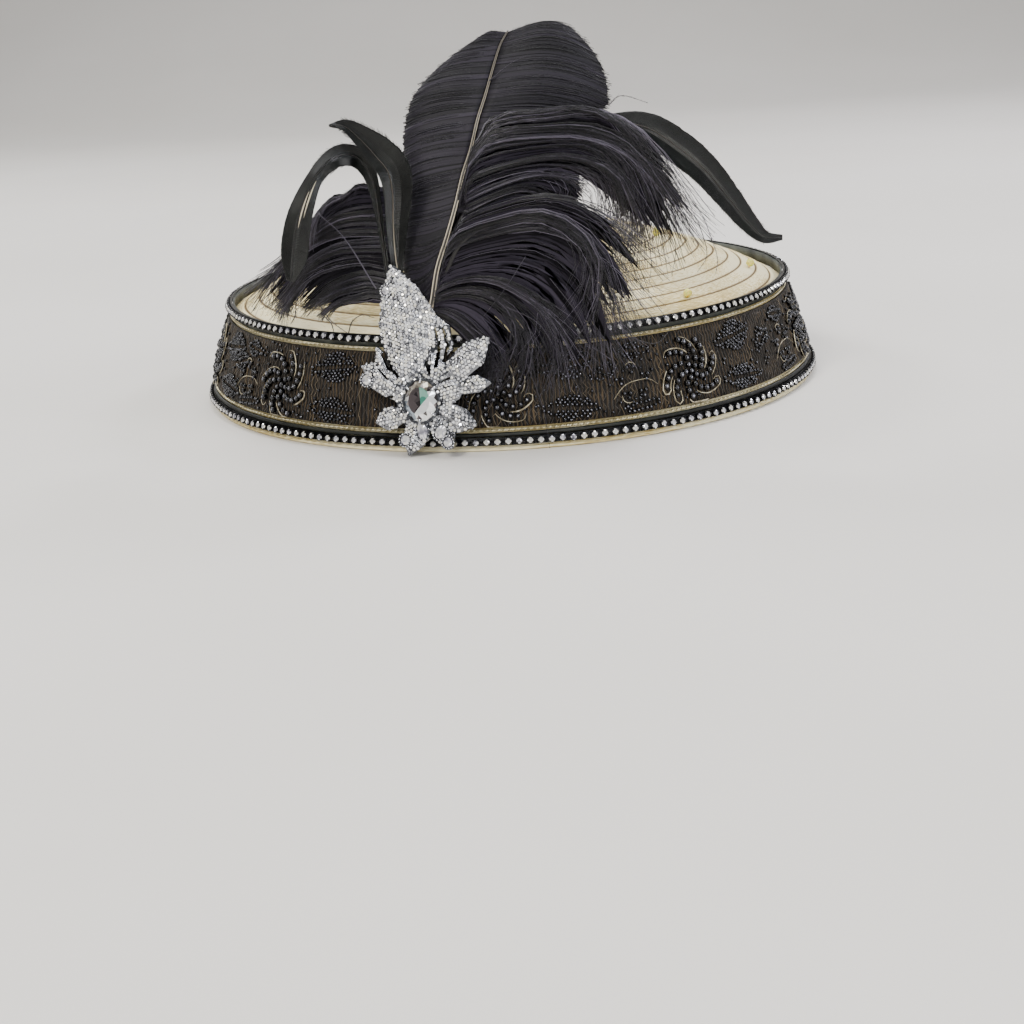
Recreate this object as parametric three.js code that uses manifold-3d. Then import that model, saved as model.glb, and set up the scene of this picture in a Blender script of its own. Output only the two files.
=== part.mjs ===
// A dressed straw hat: a shallow braided crown with a sloping side, a beaded lace band between
// two rows of rhinestone trim, a large pave brooch, four ostrich plumes and three coque feathers.
// Millimetres, +Z up, the front of the hat faces -Y. The hat rests on its rim at z = 0.

import * as THREE from 'three';
import { mergeVertices } from 'three/addons/utils/BufferGeometryUtils.js';
import Module from 'manifold-3d';

const wasm = await Module();
wasm.setup();

// Driving sizes of the hat
const RIM_RADIUS = 158.6;
const EDGE_RADIUS = 144.5;
const EDGE_HEIGHT = 44.5;
const CROWN_RISE = 38.8;
const STRAW = 2.0;
const BRAID_ROWS = 20;
const BRAID_GROOVE = 0.55;
const HAT_SIDES = 28;
const GAP = 0.3;

// Driving sizes of the trims on the side
const LACE_FROM = 10.6;
const LACE_TO = 43.6;
const LACE_THICK = 1.4;
const LACE_BULGE = 0.8;
const SATIN_FROM = 6.5;
const SATIN_TO = 8.1;
const SATIN_THICK = 1.1;
const CORD_RADIUS = 0.75;
const LOWER_CORD_HEIGHT = 9.2;
const UPPER_CORD_HEIGHT = 44.9;
const STONE_TRIM_RADIUS = 1.9;
const STONE_TRIM_SIDES = 8;
const STONE_TRIM_STEPS = 56;
const LOWER_STONES = { radius: 159.7, height: 4.5 };
const UPPER_STONES = { radius: 146.7, height: 49.7 };
const TAPE_THICK = 0.9;
const TAPE_TOP = 51.0;
const TAPE_FOOT = 45.4;

// Where the brooch sits: turned left of the front, leaning back like the side of the hat
const BROOCH_TURN = THREE.MathUtils.degToRad(-16.5);
const BROOCH_LEAN = Math.atan2(LOWER_STONES.radius - UPPER_STONES.radius,
  UPPER_STONES.height - LOWER_STONES.height);
const BROOCH_STANDOFF = STONE_TRIM_RADIUS + 3.2;
const STEM_RADIUS = 1.1;
const STEM_DEPTH = -1.6;
const STEM_FOOT = 34;
const STEM_CROSSING = 46;
const BACK_PLATE = 1.6;
const LEAF_EDGE = 1.3;

const FACING = new THREE.Vector3(0, -0.96, 0.28);

// Finishes
const finish = (color, roughness, metalness) => new THREE.MeshStandardMaterial({ color, roughness, metalness });
const strawFinish = () => finish(0xe9dec2, 0.7, 0);
const laceFinish = () => finish(0x2e2620, 0.75, 0);
const satinFinish = () => finish(0x3c4440, 0.4, 0);
const goldFinish = () => finish(0xb3a27c, 0.45, 0.6);
const stoneTrimFinish = () => finish(0xb9bbc2, 0.2, 0.5);
const silverFinish = () => finish(0xd9dade, 0.25, 0.8);
const crystalFinish = () => finish(0xe4efec, 0.05, 0);
const ostrichFinish = () => finish(0x17161b, 0.8, 0);
const coqueFinish = () => finish(0x101614, 0.35, 0);
const pinHeadFinish = () => finish(0xd8d070, 0.25, 0);

// Joins and cuts closed geometries
function bare(geometry) {
  const copy = geometry.clone();
  copy.deleteAttribute('normal');
  copy.deleteAttribute('uv');
  return mergeVertices(copy, 1e-4);
}

function solidOf(geometry) {
  const merged = bare(geometry);
  return new wasm.Manifold(new wasm.Mesh({
    numProp: 3,
    vertProperties: new Float32Array(merged.attributes.position.array),
    triVerts: new Uint32Array(merged.index.array),
  }));
}

function geometryOf(solid) {
  const mesh = solid.getMesh();
  const geometry = new THREE.BufferGeometry();
  geometry.setAttribute('position', new THREE.BufferAttribute(new Float32Array(mesh.vertProperties), 3));
  geometry.setIndex(new THREE.BufferAttribute(new Uint32Array(mesh.triVerts), 1));
  return geometry;
}

function fuse(geometries) {
  return geometries.map(solidOf).reduce((all, next) => all.add(next));
}

// The one outer skin of a fused solid, without the pockets that crossing pieces close in.
function outerSkin(solid) {
  return solid.decompose().reduce((all, next) => (next.volume() > all.volume() ? next : all));
}

// Six times the volume that the faces enclose, negative where they point inwards.
function signedVolume(points, faces) {
  const corner = (index) => new THREE.Vector3().fromArray(points, index * 3);
  let sum = 0;
  for (let face = 0; face < faces.length; face += 3) {
    const [a, b, c] = [corner(faces[face]), corner(faces[face + 1]), corner(faces[face + 2])];
    sum += a.dot(b.cross(c));
  }
  return sum;
}

// A closed skin over rings of points, each ring with the same count, with both ends capped.
function loft(rings) {
  const sides = rings[0].length;
  const points = rings.flat().flatMap((p) => [p.x, p.y, p.z]);
  const faces = [];
  for (let ring = 0; ring < rings.length - 1; ring += 1) {
    for (let side = 0; side < sides; side += 1) {
      const next = (side + 1) % sides;
      const a = ring * sides + side;
      const b = ring * sides + next;
      faces.push(a, b, b + sides, a, b + sides, a + sides);
    }
  }
  const last = (rings.length - 1) * sides;
  for (let side = 1; side < sides - 1; side += 1) {
    faces.push(0, side + 1, side);
    faces.push(last, last + side, last + side + 1);
  }
  const geometry = new THREE.BufferGeometry();
  geometry.setAttribute('position', new THREE.Float32BufferAttribute(points, 3));
  if (signedVolume(points, faces) < 0) faces.reverse();
  geometry.setIndex(faces);
  return geometry;
}

// A ring turned about the hat's axis from a closed outline of [radius, height] points.
function turned(outline, sides = HAT_SIDES) {
  const points = outline.map(([radius, height]) => new THREE.Vector2(radius, height));
  return new THREE.LatheGeometry(points, sides).rotateX(Math.PI / 2);
}

const sideRadius = (height) => RIM_RADIUS + (EDGE_RADIUS - RIM_RADIUS) * height / EDGE_HEIGHT;

// The dome's height over its edge circle: a parabola with a slightly rounded shoulder.
function domeHeight(radius) {
  const share = radius / EDGE_RADIUS;
  return EDGE_HEIGHT + (CROWN_RISE - 0.8) * (1 - share ** 2) + 0.8 * (1 - share ** 12);
}

function strawCrown() {
  const outline = [[0, domeHeight(0)]];
  const rowWidth = EDGE_RADIUS / BRAID_ROWS;
  for (let row = 1; row <= BRAID_ROWS; row += 1) {
    const crest = (row - 0.45) * rowWidth;
    const groove = row * rowWidth;
    outline.push([crest, domeHeight(crest)]);
    if (row < BRAID_ROWS) outline.push([groove, domeHeight(groove) - BRAID_GROOVE]);
  }
  outline.push([EDGE_RADIUS, EDGE_HEIGHT]);
  outline.push([RIM_RADIUS, 0]);
  outline.push([RIM_RADIUS - STRAW, 0]);
  outline.push([EDGE_RADIUS - STRAW - 0.6, EDGE_HEIGHT - STRAW]);
  for (const share of [0.85, 0.65, 0.4]) {
    const radius = share * EDGE_RADIUS;
    outline.push([radius, domeHeight(radius) - STRAW - BRAID_GROOVE]);
  }
  outline.push([0, domeHeight(0) - STRAW - BRAID_GROOVE]);
  return turned(outline.reverse());
}

// A band that lies on the sloping side, from one height to another, with an optional bulge.
function sideBand(from, to, thick, bulge = 0) {
  const middle = (from + to) / 2;
  const outline = [
    [sideRadius(from) + GAP, from],
    [sideRadius(from) + GAP + thick, from],
  ];
  if (bulge > 0) outline.push([sideRadius(middle) + GAP + thick + bulge, middle]);
  outline.push([sideRadius(to) + GAP + thick, to]);
  outline.push([sideRadius(to) + GAP, to]);
  outline.push(outline[0]);
  return turned(outline);
}

// The tape that carries the upper stones stands on the crown's edge, inside the row of stones.
function standingTape() {
  const foot = UPPER_STONES.radius - STONE_TRIM_RADIUS - GAP;
  const lean = (TAPE_TOP - TAPE_FOOT) * Math.tan(BROOCH_LEAN) * 0.3;
  const outline = [
    [foot - TAPE_THICK, TAPE_FOOT],
    [foot, TAPE_FOOT],
    [foot - lean, TAPE_TOP],
    [foot - lean - TAPE_THICK, TAPE_TOP],
  ];
  outline.push(outline[0]);
  return turned(outline);
}

function cordOnSide(height) {
  const radius = sideRadius(height) + GAP + CORD_RADIUS;
  const outline = [
    [radius - CORD_RADIUS, height],
    [radius, height - CORD_RADIUS],
    [radius + CORD_RADIUS, height],
    [radius, height + CORD_RADIUS],
  ];
  outline.push(outline[0]);
  return turned(outline);
}

function stoneTrim({ radius, height }) {
  return new THREE.TorusGeometry(radius, STONE_TRIM_RADIUS, STONE_TRIM_SIDES, STONE_TRIM_STEPS)
    .translate(0, 0, height);
}

// The brooch's own frame: x to the right, y up along the slope, z out of its back plane
const broochFrame = new THREE.Matrix4()
  .makeRotationZ(BROOCH_TURN)
  .multiply(new THREE.Matrix4().makeTranslation(
    0,
    -(LOWER_STONES.radius + BROOCH_STANDOFF * Math.cos(BROOCH_LEAN)),
    LOWER_STONES.height + BROOCH_STANDOFF * Math.sin(BROOCH_LEAN),
  ))
  .multiply(new THREE.Matrix4().makeRotationX(Math.PI / 2 - BROOCH_LEAN));

const onBrooch = (x, y, z) => new THREE.Vector3(x, y, z).applyMatrix4(broochFrame);

// Leaves of the brooch: a spine from base to tip, bent sideways, with its full width,
// the place of the widest point along it and the height of its crest.
const LEAVES = [
  { base: [0, 31], tip: [-10.7, 80], bend: -2.8, width: 28, widest: 0.42, crest: 4.2 },
  { base: [6, 31], tip: [5, 62], bend: -11, width: 9, widest: 0.5, crest: 2.4 },
  { base: [-2, 27], tip: [-4, 46], bend: 1, width: 15, widest: 0.4, crest: 5.6 },
  { base: [10, 27], tip: [8, 46], bend: -2, width: 11, widest: 0.45, crest: 4.4 },
  { base: [-2, 24], tip: [-16.8, 43.2], bend: 3, width: 10, widest: 0.55, crest: 3.2 },
  { base: [-2, 21], tip: [-23.2, 34.6], bend: -1, width: 15, widest: 0.6, crest: 4.4 },
  { base: [-2, 13], tip: [-16.6, 9.2], bend: 0, width: 10.5, widest: 0.6, crest: 3.6 },
  { base: [3, 13], tip: [0, -5.4], bend: 1.2, width: 11.5, widest: 0.6, crest: 3.6 },
  { base: [10, 13], tip: [20.6, -1.4], bend: 1, width: 10.5, widest: 0.62, crest: 3.4 },
  { base: [11, 17], tip: [31.6, 8.4], bend: -1.2, width: 12.5, widest: 0.6, crest: 4 },
  { base: [11, 22], tip: [26, 27], bend: 0, width: 14, widest: 0.5, crest: 4.6 },
  { base: [14, 29], tip: [36.4, 48], bend: -1.5, width: 13.5, widest: 0.62, crest: 4.2 },
  { base: [19, 24.5], tip: [38, 27.6], bend: 0.6, width: 8.5, widest: 0.6, crest: 3.4 },
];

// Narrow gaps cut right through the brooch: points along each, with the full width there.
const SLITS = [
  [[11, 52.5, 0.8], [13.6, 44.2, 2], [12.4, 34, 1.2]],
  [[14.8, 51.8, 0.8], [17.6, 43.6, 1.8], [15.2, 36.6, 1]],
  [[-13.6, 40.8, 2.4], [-9.6, 33.4, 2.6], [-4.6, 29.6, 0.8]],
  [[7.4, 37, 2.6], [10, 31.2, 2.4]],
  [[-15.2, 33.2, 0.7], [-9.6, 28, 0.9]],
  [[-11.5, 20.4, 0.8], [-8, 20.8, 1.4]],
  [[15.2, 27.8, 0.8], [19.6, 30, 0.8]],
];

// Stones large enough to stand for themselves: place, length, width, turn and rise of the girdle.
const ACCENT_STONE_SIDES = 8;
const ACCENT_STONES = [
  { name: 'left_tip', at: [-20.4, 28.2], long: 4.6, wide: 4.2, turn: 0, rise: 3.4 },
  { name: 'top_edge', at: [-12.2, 68.6], long: 3.8, wide: 3.8, turn: 0, rise: 2.8 },
  { name: 'lower_left', at: [-1.4, 1.2], long: 4.6, wide: 4.4, turn: 0.3, rise: 2.6 },
  { name: 'under_centre', at: [6.4, 5.6], long: 8.4, wide: 5, turn: 0.25, rise: 2.6 },
  { name: 'lower_right', at: [15.4, 5.2], long: 6.6, wide: 5, turn: -0.6, rise: 3 },
  { name: 'right_tip', at: [18.8, 0.6], long: 4.4, wide: 4.2, turn: 0, rise: 2.6 },
];
const CENTRE_STONE_SIDES = 12;
const CENTRE_STONE = { at: [6.2, 18.8], long: 18.8, wide: 15.6, turn: 0, rise: 4.4, sides: CENTRE_STONE_SIDES };
const COLLET = 1.2;

const LEAF_STEPS = [0, 0.35, 0.7, 1];
const LARGE_LEAF_STEPS = [0, 0.25, 0.5, 0.75, 1];
const LARGE_LEAF = 20;

function leafShare(along, widest) {
  return along < widest
    ? 0.5 + 0.5 * Math.sin((along / widest) * Math.PI / 2)
    : Math.max(0.1, Math.cos(((along - widest) / (1 - widest)) * Math.PI / 2));
}

function leafSolid({ base, tip, bend, width, widest, crest }) {
  const start = new THREE.Vector2(...base);
  const reach = new THREE.Vector2(...tip).sub(start);
  const side = new THREE.Vector2(-reach.y, reach.x).normalize();
  const steps = width > LARGE_LEAF ? LARGE_LEAF_STEPS : LEAF_STEPS;
  const rings = steps.map((along) => {
    const half = (width / 2) * leafShare(along, widest);
    const middle = start.clone()
      .addScaledVector(reach, along)
      .addScaledVector(side, bend * Math.sin(along * Math.PI));
    const rise = LEAF_EDGE + (crest - LEAF_EDGE) * Math.min(1, half / (width / 2) + 0.1);
    const place = (across, height) => new THREE.Vector3(
      middle.x + side.x * across, middle.y + side.y * across, height);
    return [place(-half, 0), place(-half, LEAF_EDGE), place(0, rise), place(half, LEAF_EDGE), place(half, 0)];
  });
  return loft(rings);
}

function slitSolid(points) {
  const rings = points.map(([x, y, width], index) => {
    const before = points[Math.max(0, index - 1)];
    const after = points[Math.min(points.length - 1, index + 1)];
    const along = new THREE.Vector2(after[0] - before[0], after[1] - before[1]).normalize();
    const across = new THREE.Vector2(-along.y, along.x).multiplyScalar(width / 2);
    return [
      new THREE.Vector3(x - across.x, y - across.y, -2),
      new THREE.Vector3(x - across.x, y - across.y, 9),
      new THREE.Vector3(x + across.x, y + across.y, 9),
      new THREE.Vector3(x + across.x, y + across.y, -2),
    ];
  });
  return loft(rings);
}

// An oval disc between two heights, wider by a margin than the stone's girdle.
function ovalDisc({ at, long, wide, turn, sides = ACCENT_STONE_SIDES }, margin, from, to) {
  return new THREE.CylinderGeometry(1, 1, to - from, sides)
    .rotateX(Math.PI / 2)
    .scale(wide / 2 + margin, long / 2 + margin, 1)
    .rotateZ(turn)
    .translate(at[0], at[1], (from + to) / 2);
}

function broochSetting() {
  const collets = [CENTRE_STONE, ...ACCENT_STONES].map((stone) => ovalDisc(stone, COLLET, 0, stone.rise + 0.5));
  const backPlate = ovalDisc({ ...CENTRE_STONE, long: 30, wide: 26 }, 0, 0, BACK_PLATE);
  let metal = fuse([...LEAVES.map(leafSolid), backPlate, ...collets]);
  for (const slit of SLITS) metal = metal.subtract(solidOf(slitSolid(slit)));
  for (const stone of [CENTRE_STONE, ...ACCENT_STONES]) {
    metal = metal.subtract(solidOf(ovalDisc(stone, GAP, stone.rise - 1.2, 12)));
  }
  return geometryOf(outerSkin(metal));
}

// A cut stone: flat back, girdle, a ring of kite facets and a table.
function cutStone({ at, long, wide, turn, rise, sides = ACCENT_STONE_SIDES }) {
  const height = Math.min(long, wide) * 0.34;
  const levels = [
    { share: 0.9, z: -0.9 },
    { share: 1, z: 0 },
    { share: 1, z: 0.35 },
    { share: 0.84, z: height * 0.62, twist: true },
    { share: 0.56, z: height },
  ];
  const rings = levels.map(({ share, z, twist }) => Array.from({ length: sides }, (_, side) => {
    const angle = ((side + (twist ? 0.5 : 0)) / sides) * Math.PI * 2;
    return new THREE.Vector3(Math.cos(angle) * share * wide / 2, Math.sin(angle) * share * long / 2, z);
  }));
  return loft(rings).rotateZ(turn).translate(at[0], at[1], rise);
}

// The hidden pin: a bar behind the brooch with two short legs that reach back to the lace.
function broochPin() {
  const height = 19.5;
  const legReach = 3.4;
  const bar = new THREE.CylinderGeometry(0.9, 0.9, 22, 8).rotateZ(Math.PI / 2).translate(4, height, -1.2);
  const leg = (x) => new THREE.CylinderGeometry(0.8, 0.8, legReach, 8)
    .rotateX(Math.PI / 2)
    .translate(x, height, -1.2 - legReach / 2);
  return geometryOf(fuse([bar, leg(-4), leg(12)]));
}

// Feathers: the stem's two lowest points lie behind the brooch, the rest are places in the air.
function stemPoints(stem, points) {
  return [
    onBrooch(stem, STEM_FOOT, STEM_DEPTH),
    onBrooch(stem, STEM_CROSSING, STEM_DEPTH),
    ...points.map(([x, y, z]) => new THREE.Vector3(x, y, z)),
  ];
}

// Points round a place on a feather: across the blade, then through it, from a starting angle.
function bladeRing(place, tangent, across, through, sides = 4, start = 0) {
  const side = new THREE.Vector3().crossVectors(tangent, FACING).normalize();
  const face = new THREE.Vector3().crossVectors(side, tangent).normalize();
  return Array.from({ length: sides }, (_, index) => {
    const angle = start + (index / sides) * Math.PI * 2;
    return place.clone()
      .addScaledVector(side, Math.cos(angle) * across)
      .addScaledVector(face, Math.sin(angle) * through);
  });
}

function quill(curve, steps, thickness) {
  const rings = [];
  for (let step = 0; step <= steps; step += 1) {
    const along = step / steps;
    const radius = STEM_RADIUS * thickness * (1 - 0.65 * along);
    rings.push(bladeRing(curve.getPoint(along), curve.getTangent(along), radius, radius, QUILL_SIDES));
  }
  return loft(rings);
}

// The outline of one lock of flues: share of the way, share of its width and of its thickness
const LOCK_SECTIONS = [
  { along: 0, width: 0.5, thick: 1 },
  { along: 0.4, width: 1, thick: 1 },
  { along: 0.76, width: 0.74, thick: 0.7 },
  { along: 1, width: 0.14, thick: 0.4 },
];
const LOCK_THICKNESS = 1.1;
const LOCK_SIDES = 3;
const QUILL_STEPS = 12;
const QUILL_SIDES = 5;

function lock(root, bow, tip, width) {
  const curve = new THREE.QuadraticBezierCurve3(root, new THREE.Vector3(...bow), new THREE.Vector3(...tip));
  return loft(LOCK_SECTIONS.map((section) => bladeRing(
    curve.getPoint(section.along),
    curve.getTangent(section.along),
    (width / 1.75) * section.width,
    LOCK_THICKNESS * section.thick,
    LOCK_SIDES,
    Math.PI / 2,
  )));
}

function plume({ stem, points, thickness, locks }) {
  const curve = new THREE.CatmullRomCurve3(stemPoints(stem, points), false, 'centripetal');
  const pieces = [quill(curve, QUILL_STEPS, thickness)];
  for (const [at, width, bow, tip] of locks) pieces.push(lock(curve.getPoint(at), bow, tip, width));
  return geometryOf(outerSkin(fuse(pieces)));
}

// Each lock's columns: place along the quill, full width, bow point and tip
const TALL_PLUME = {
  stem: 3,
  thickness: 1.05,
  points: [[-34, -142, 64], [-30, -139, 81], [-25, -135.5, 94], [-20, -131, 108], [-16, -126, 121],
    [-12, -121, 131], [-8, -115, 144], [-4, -109, 154], [0, -102, 165], [4, -95, 175], [8, -90, 181]],
  locks: [
    [0.33, 13, [-34, -134, 90], [-42, -130, 88]],
    [0.43, 14, [-32, -129, 106], [-43, -125, 103]],
    [0.52, 15, [-29, -124, 120], [-43, -120, 117]],
    [0.61, 15, [-27, -119, 134], [-43, -115, 130]],
    [0.7, 15, [-23, -112, 147], [-42, -109, 143]],
    [0.78, 15, [-19, -106, 159], [-39, -104, 154]],
    [0.86, 14, [-13, -100, 169], [-30, -99, 163]],
    [0.93, 13, [-5, -95, 177], [-16, -95, 172]],
    [0.99, 9, [2, -91, 182], [-5, -92, 179]],
    [0.6, 13, [6, -117, 132], [34, -106, 131]],
    [0.69, 15, [16, -113, 147], [47, -103, 139]],
    [0.77, 15, [23, -110, 159], [54, -101, 145]],
    [0.86, 15, [27, -103, 171], [54, -96, 154]],
    [0.93, 14, [26, -96, 180], [48, -91, 168]],
    [0.99, 9, [25, -90, 184], [41, -87, 177]],
  ],
};

const RIGHT_PLUME = {
  stem: 0,
  thickness: 1,
  points: [[-33, -138, 65], [-28, -135.6, 80], [-24, -131.6, 93], [-16, -129.4, 104.4], [-8, -129.6, 113.6],
    [3, -130, 121], [19, -128, 124], [37, -124, 123], [53, -119, 118], [65, -113, 111]],
  locks: [
    [0.33, 9, [-2, -130, 151], [48, -112, 146]],
    [0.4, 13, [14, -128, 155], [75, -105, 132]],
    [0.5, 13, [35, -133, 149], [91, -99, 112]],
    [0.61, 12, [56, -133, 143], [98, -95, 89]],
    [0.72, 11, [67, -129, 134], [96, -90, 76]],
    [0.86, 11, [71, -124, 120], [88, -98, 81]],
    [0.98, 8, [77, -112, 105], [84, -104, 85]],
    [0.54, 7, [10, -132, 119], [22, -134, 109]],
    [0.74, 6, [41, -128, 113], [46, -127, 101]],
    [0.88, 7, [62, -120, 106], [68, -112, 78]],
  ],
};

const LOWER_PLUME = {
  stem: 6.2,
  thickness: 1,
  points: [[-31, -142.5, 64], [-26, -145, 79], [-20, -148, 91], [-12, -151, 98], [2, -155, 104],
    [20, -158, 107], [37, -159, 103], [49, -159, 94], [59, -158, 81]],
  locks: [
    [0.22, 10, [-20, -149, 60], [-3, -156, 30]],
    [0.32, 13, [-9, -155, 74], [10, -158, 28]],
    [0.43, 14, [8, -162, 86], [24, -161, 25]],
    [0.55, 14, [27, -165, 97], [38, -159, 23]],
    [0.67, 13, [45, -165, 98], [51, -155, 25]],
    [0.79, 12, [59, -161, 89], [62, -151, 28]],
    [0.9, 10, [64, -156, 76], [66, -149, 43]],
    [0.98, 8, [66, -149, 70], [70, -140, 57]],
    [0.4, 9, [-4, -150, 108], [18, -152, 110]],
    [0.6, 9, [26, -156, 113], [46, -157, 103]],
  ],
};

const LEFT_PLUME = {
  stem: -6,
  thickness: 1,
  points: [[-46, -134, 66], [-48, -127, 80], [-49, -124, 93], [-50, -122, 107], [-52, -121, 117]],
  locks: [
    [0.99, 9, [-57, -122, 121], [-66, -126, 117]],
    [0.88, 11, [-64, -120, 116], [-79, -123, 111]],
    [0.79, 12, [-70, -120, 109], [-90, -120, 99]],
    [0.7, 13, [-76, -118, 101], [-101, -114, 87]],
    [0.61, 14, [-79, -115, 94], [-114, -103, 73]],
    [0.52, 13, [-83, -112, 85], [-124, -90, 55]],
    [0.46, 12, [-82, -114, 80], [-111, -101, 57]],
    [0.41, 11, [-74, -121, 75], [-95, -114, 64]],
    [0.36, 9, [-64, -129, 71], [-78, -126, 65]],
  ],
};

// Coque feathers: columns are x, y, z and half the blade's width there
const COQUE_LEFT_UPPER = {
  stem: -9,
  rows: [[-48, -137, 68, 1.1], [-48, -134, 76, 1.8], [-48, -132, 88, 3.6], [-47, -133, 101, 5.2],
    [-45.4, -134, 115, 6.7], [-46.2, -136, 126, 7.6], [-51.5, -138, 134, 7.2], [-58, -141, 141, 5.2],
    [-65, -145, 147, 3], [-72, -149, 148, 0.6]],
};

const COQUE_LEFT_LOOP = {
  stem: -12,
  rows: [[-52, -135.5, 68, 1.1], [-53, -132, 78, 1.1], [-54, -130, 92, 1.3], [-55, -130, 106, 1.8],
    [-56, -131, 117, 2.6], [-58, -133, 126, 3.6], [-62, -136, 132, 4.6], [-67, -140, 134, 5.2],
    [-73, -145, 132.5, 4.6], [-80, -149, 126, 3.8], [-86, -150, 115, 5.2], [-90, -149, 104, 6.2],
    [-93, -146, 91, 6], [-96, -142, 80, 2]],
};

const COQUE_RIGHT = {
  stem: -3,
  rows: [[-34, -136, 67, 1.1], [-28, -130, 83, 1], [-21, -124, 98, 1], [-9, -115, 115, 1],
    [10, -105, 128, 1.2], [32, -93, 135, 2], [57, -86, 136, 5], [72, -82, 132, 7.4],
    [86, -80, 122, 8.2], [98, -79, 111, 7.6], [109, -78, 97, 6.4], [118, -77, 85, 5],
    [126, -76, 77, 3.2], [135, -75, 76, 1.4]],
};
const BLADE_THICKNESS = 0.6;

function coque({ stem, rows }) {
  const places = stemPoints(stem, rows);
  const halfWidths = [STEM_RADIUS, STEM_RADIUS, ...rows.map((row) => row[3])];
  return loft(places.map((place, index) => {
    const before = places[Math.max(0, index - 1)];
    const after = places[Math.min(places.length - 1, index + 1)];
    const tangent = after.clone().sub(before).normalize();
    const half = halfWidths[index];
    const through = half <= STEM_RADIUS ? Math.min(half, STEM_RADIUS) : BLADE_THICKNESS;
    return bladeRing(place, tangent, half, through);
  }));
}

// Small yellow heads of dressmaker's pins on the straw: radius and angle from the front
const PIN_HEADS = [
  { radius: 129, turn: 42 },
  { radius: 81, turn: 75 },
  { radius: 128, turn: 79 },
];
const PIN_HEAD_RADIUS = 2.2;

function pinHead({ radius, turn }) {
  const angle = THREE.MathUtils.degToRad(turn);
  return new THREE.SphereGeometry(PIN_HEAD_RADIUS, 10, 5)
    .rotateX(Math.PI / 2)
    .translate(Math.sin(angle) * radius, -Math.cos(angle) * radius, domeHeight(radius) + PIN_HEAD_RADIUS + 0.5);
}

const hat = new THREE.Group();
hat.name = 'hat';

function add(name, geometry, material) {
  const mesh = new THREE.Mesh(geometry, material);
  mesh.name = name;
  hat.add(mesh);
  return mesh;
}

add('straw_crown', strawCrown(), strawFinish());
add('lace_band', sideBand(LACE_FROM, LACE_TO, LACE_THICK, LACE_BULGE), laceFinish());
add('satin_strip', sideBand(SATIN_FROM, SATIN_TO, SATIN_THICK), satinFinish());
add('upper_tape', standingTape(), satinFinish());
add('lower_gold_cord', cordOnSide(LOWER_CORD_HEIGHT), goldFinish());
add('upper_gold_cord', cordOnSide(UPPER_CORD_HEIGHT), goldFinish());
add('lower_stone_trim', stoneTrim(LOWER_STONES), stoneTrimFinish());
add('upper_stone_trim', stoneTrim(UPPER_STONES), stoneTrimFinish());

add('brooch_setting', broochSetting().applyMatrix4(broochFrame), silverFinish());
add('brooch_pin', broochPin().applyMatrix4(broochFrame), silverFinish());
add('brooch_centre_stone', cutStone(CENTRE_STONE).applyMatrix4(broochFrame), crystalFinish());
for (const stone of ACCENT_STONES) {
  add(`brooch_stone_${stone.name}`, cutStone(stone).applyMatrix4(broochFrame), crystalFinish());
}

for (const [name, shape] of [['plume_tall', TALL_PLUME], ['plume_right', RIGHT_PLUME],
  ['plume_lower', LOWER_PLUME], ['plume_left', LEFT_PLUME]]) {
  add(name, plume(shape), ostrichFinish());
}
for (const [name, shape] of [['coque_left_upper', COQUE_LEFT_UPPER], ['coque_left_loop', COQUE_LEFT_LOOP],
  ['coque_right', COQUE_RIGHT]]) {
  add(name, coque(shape), coqueFinish());
}
PIN_HEADS.forEach((place, index) => add(`pin_head_${index + 1}`, pinHead(place), pinHeadFinish()));

// The origin is the bottom centre of the whole hat's box
const box = new THREE.Box3().setFromObject(hat);
hat.position.set(-(box.min.x + box.max.x) / 2, -(box.min.y + box.max.y) / 2, -box.min.z);

export default hat;
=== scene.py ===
"""A dressed straw hat: braided straw crown, beaded lace band, rhinestone trims, pave brooch and plumes.

Lengths are in millimetres about the crown's axis until the one function row() turns them into the frame.
"""
import math

import bpy
import numpy as np
from mathutils import Matrix, Vector
from mathutils.bvhtree import BVHTree


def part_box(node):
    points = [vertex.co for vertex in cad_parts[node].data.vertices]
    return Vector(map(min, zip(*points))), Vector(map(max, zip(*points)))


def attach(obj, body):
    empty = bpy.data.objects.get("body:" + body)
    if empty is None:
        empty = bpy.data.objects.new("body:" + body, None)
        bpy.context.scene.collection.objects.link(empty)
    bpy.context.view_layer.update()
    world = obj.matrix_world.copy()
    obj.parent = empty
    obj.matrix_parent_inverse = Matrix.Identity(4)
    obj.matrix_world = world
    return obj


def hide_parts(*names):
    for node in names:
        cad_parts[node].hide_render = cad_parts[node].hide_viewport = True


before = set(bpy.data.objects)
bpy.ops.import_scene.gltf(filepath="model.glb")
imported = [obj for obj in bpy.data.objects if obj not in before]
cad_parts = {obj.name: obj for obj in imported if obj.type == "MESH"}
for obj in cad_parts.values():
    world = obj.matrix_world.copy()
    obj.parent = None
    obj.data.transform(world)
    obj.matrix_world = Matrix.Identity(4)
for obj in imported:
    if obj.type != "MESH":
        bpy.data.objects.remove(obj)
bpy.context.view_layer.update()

MM = 0.001
CROWN_LOW, CROWN_HIGH = (np.array(corner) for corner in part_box("straw_crown"))
AXIS = (CROWN_LOW + CROWN_HIGH) / 2 * np.array([1, 1, 0])

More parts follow.
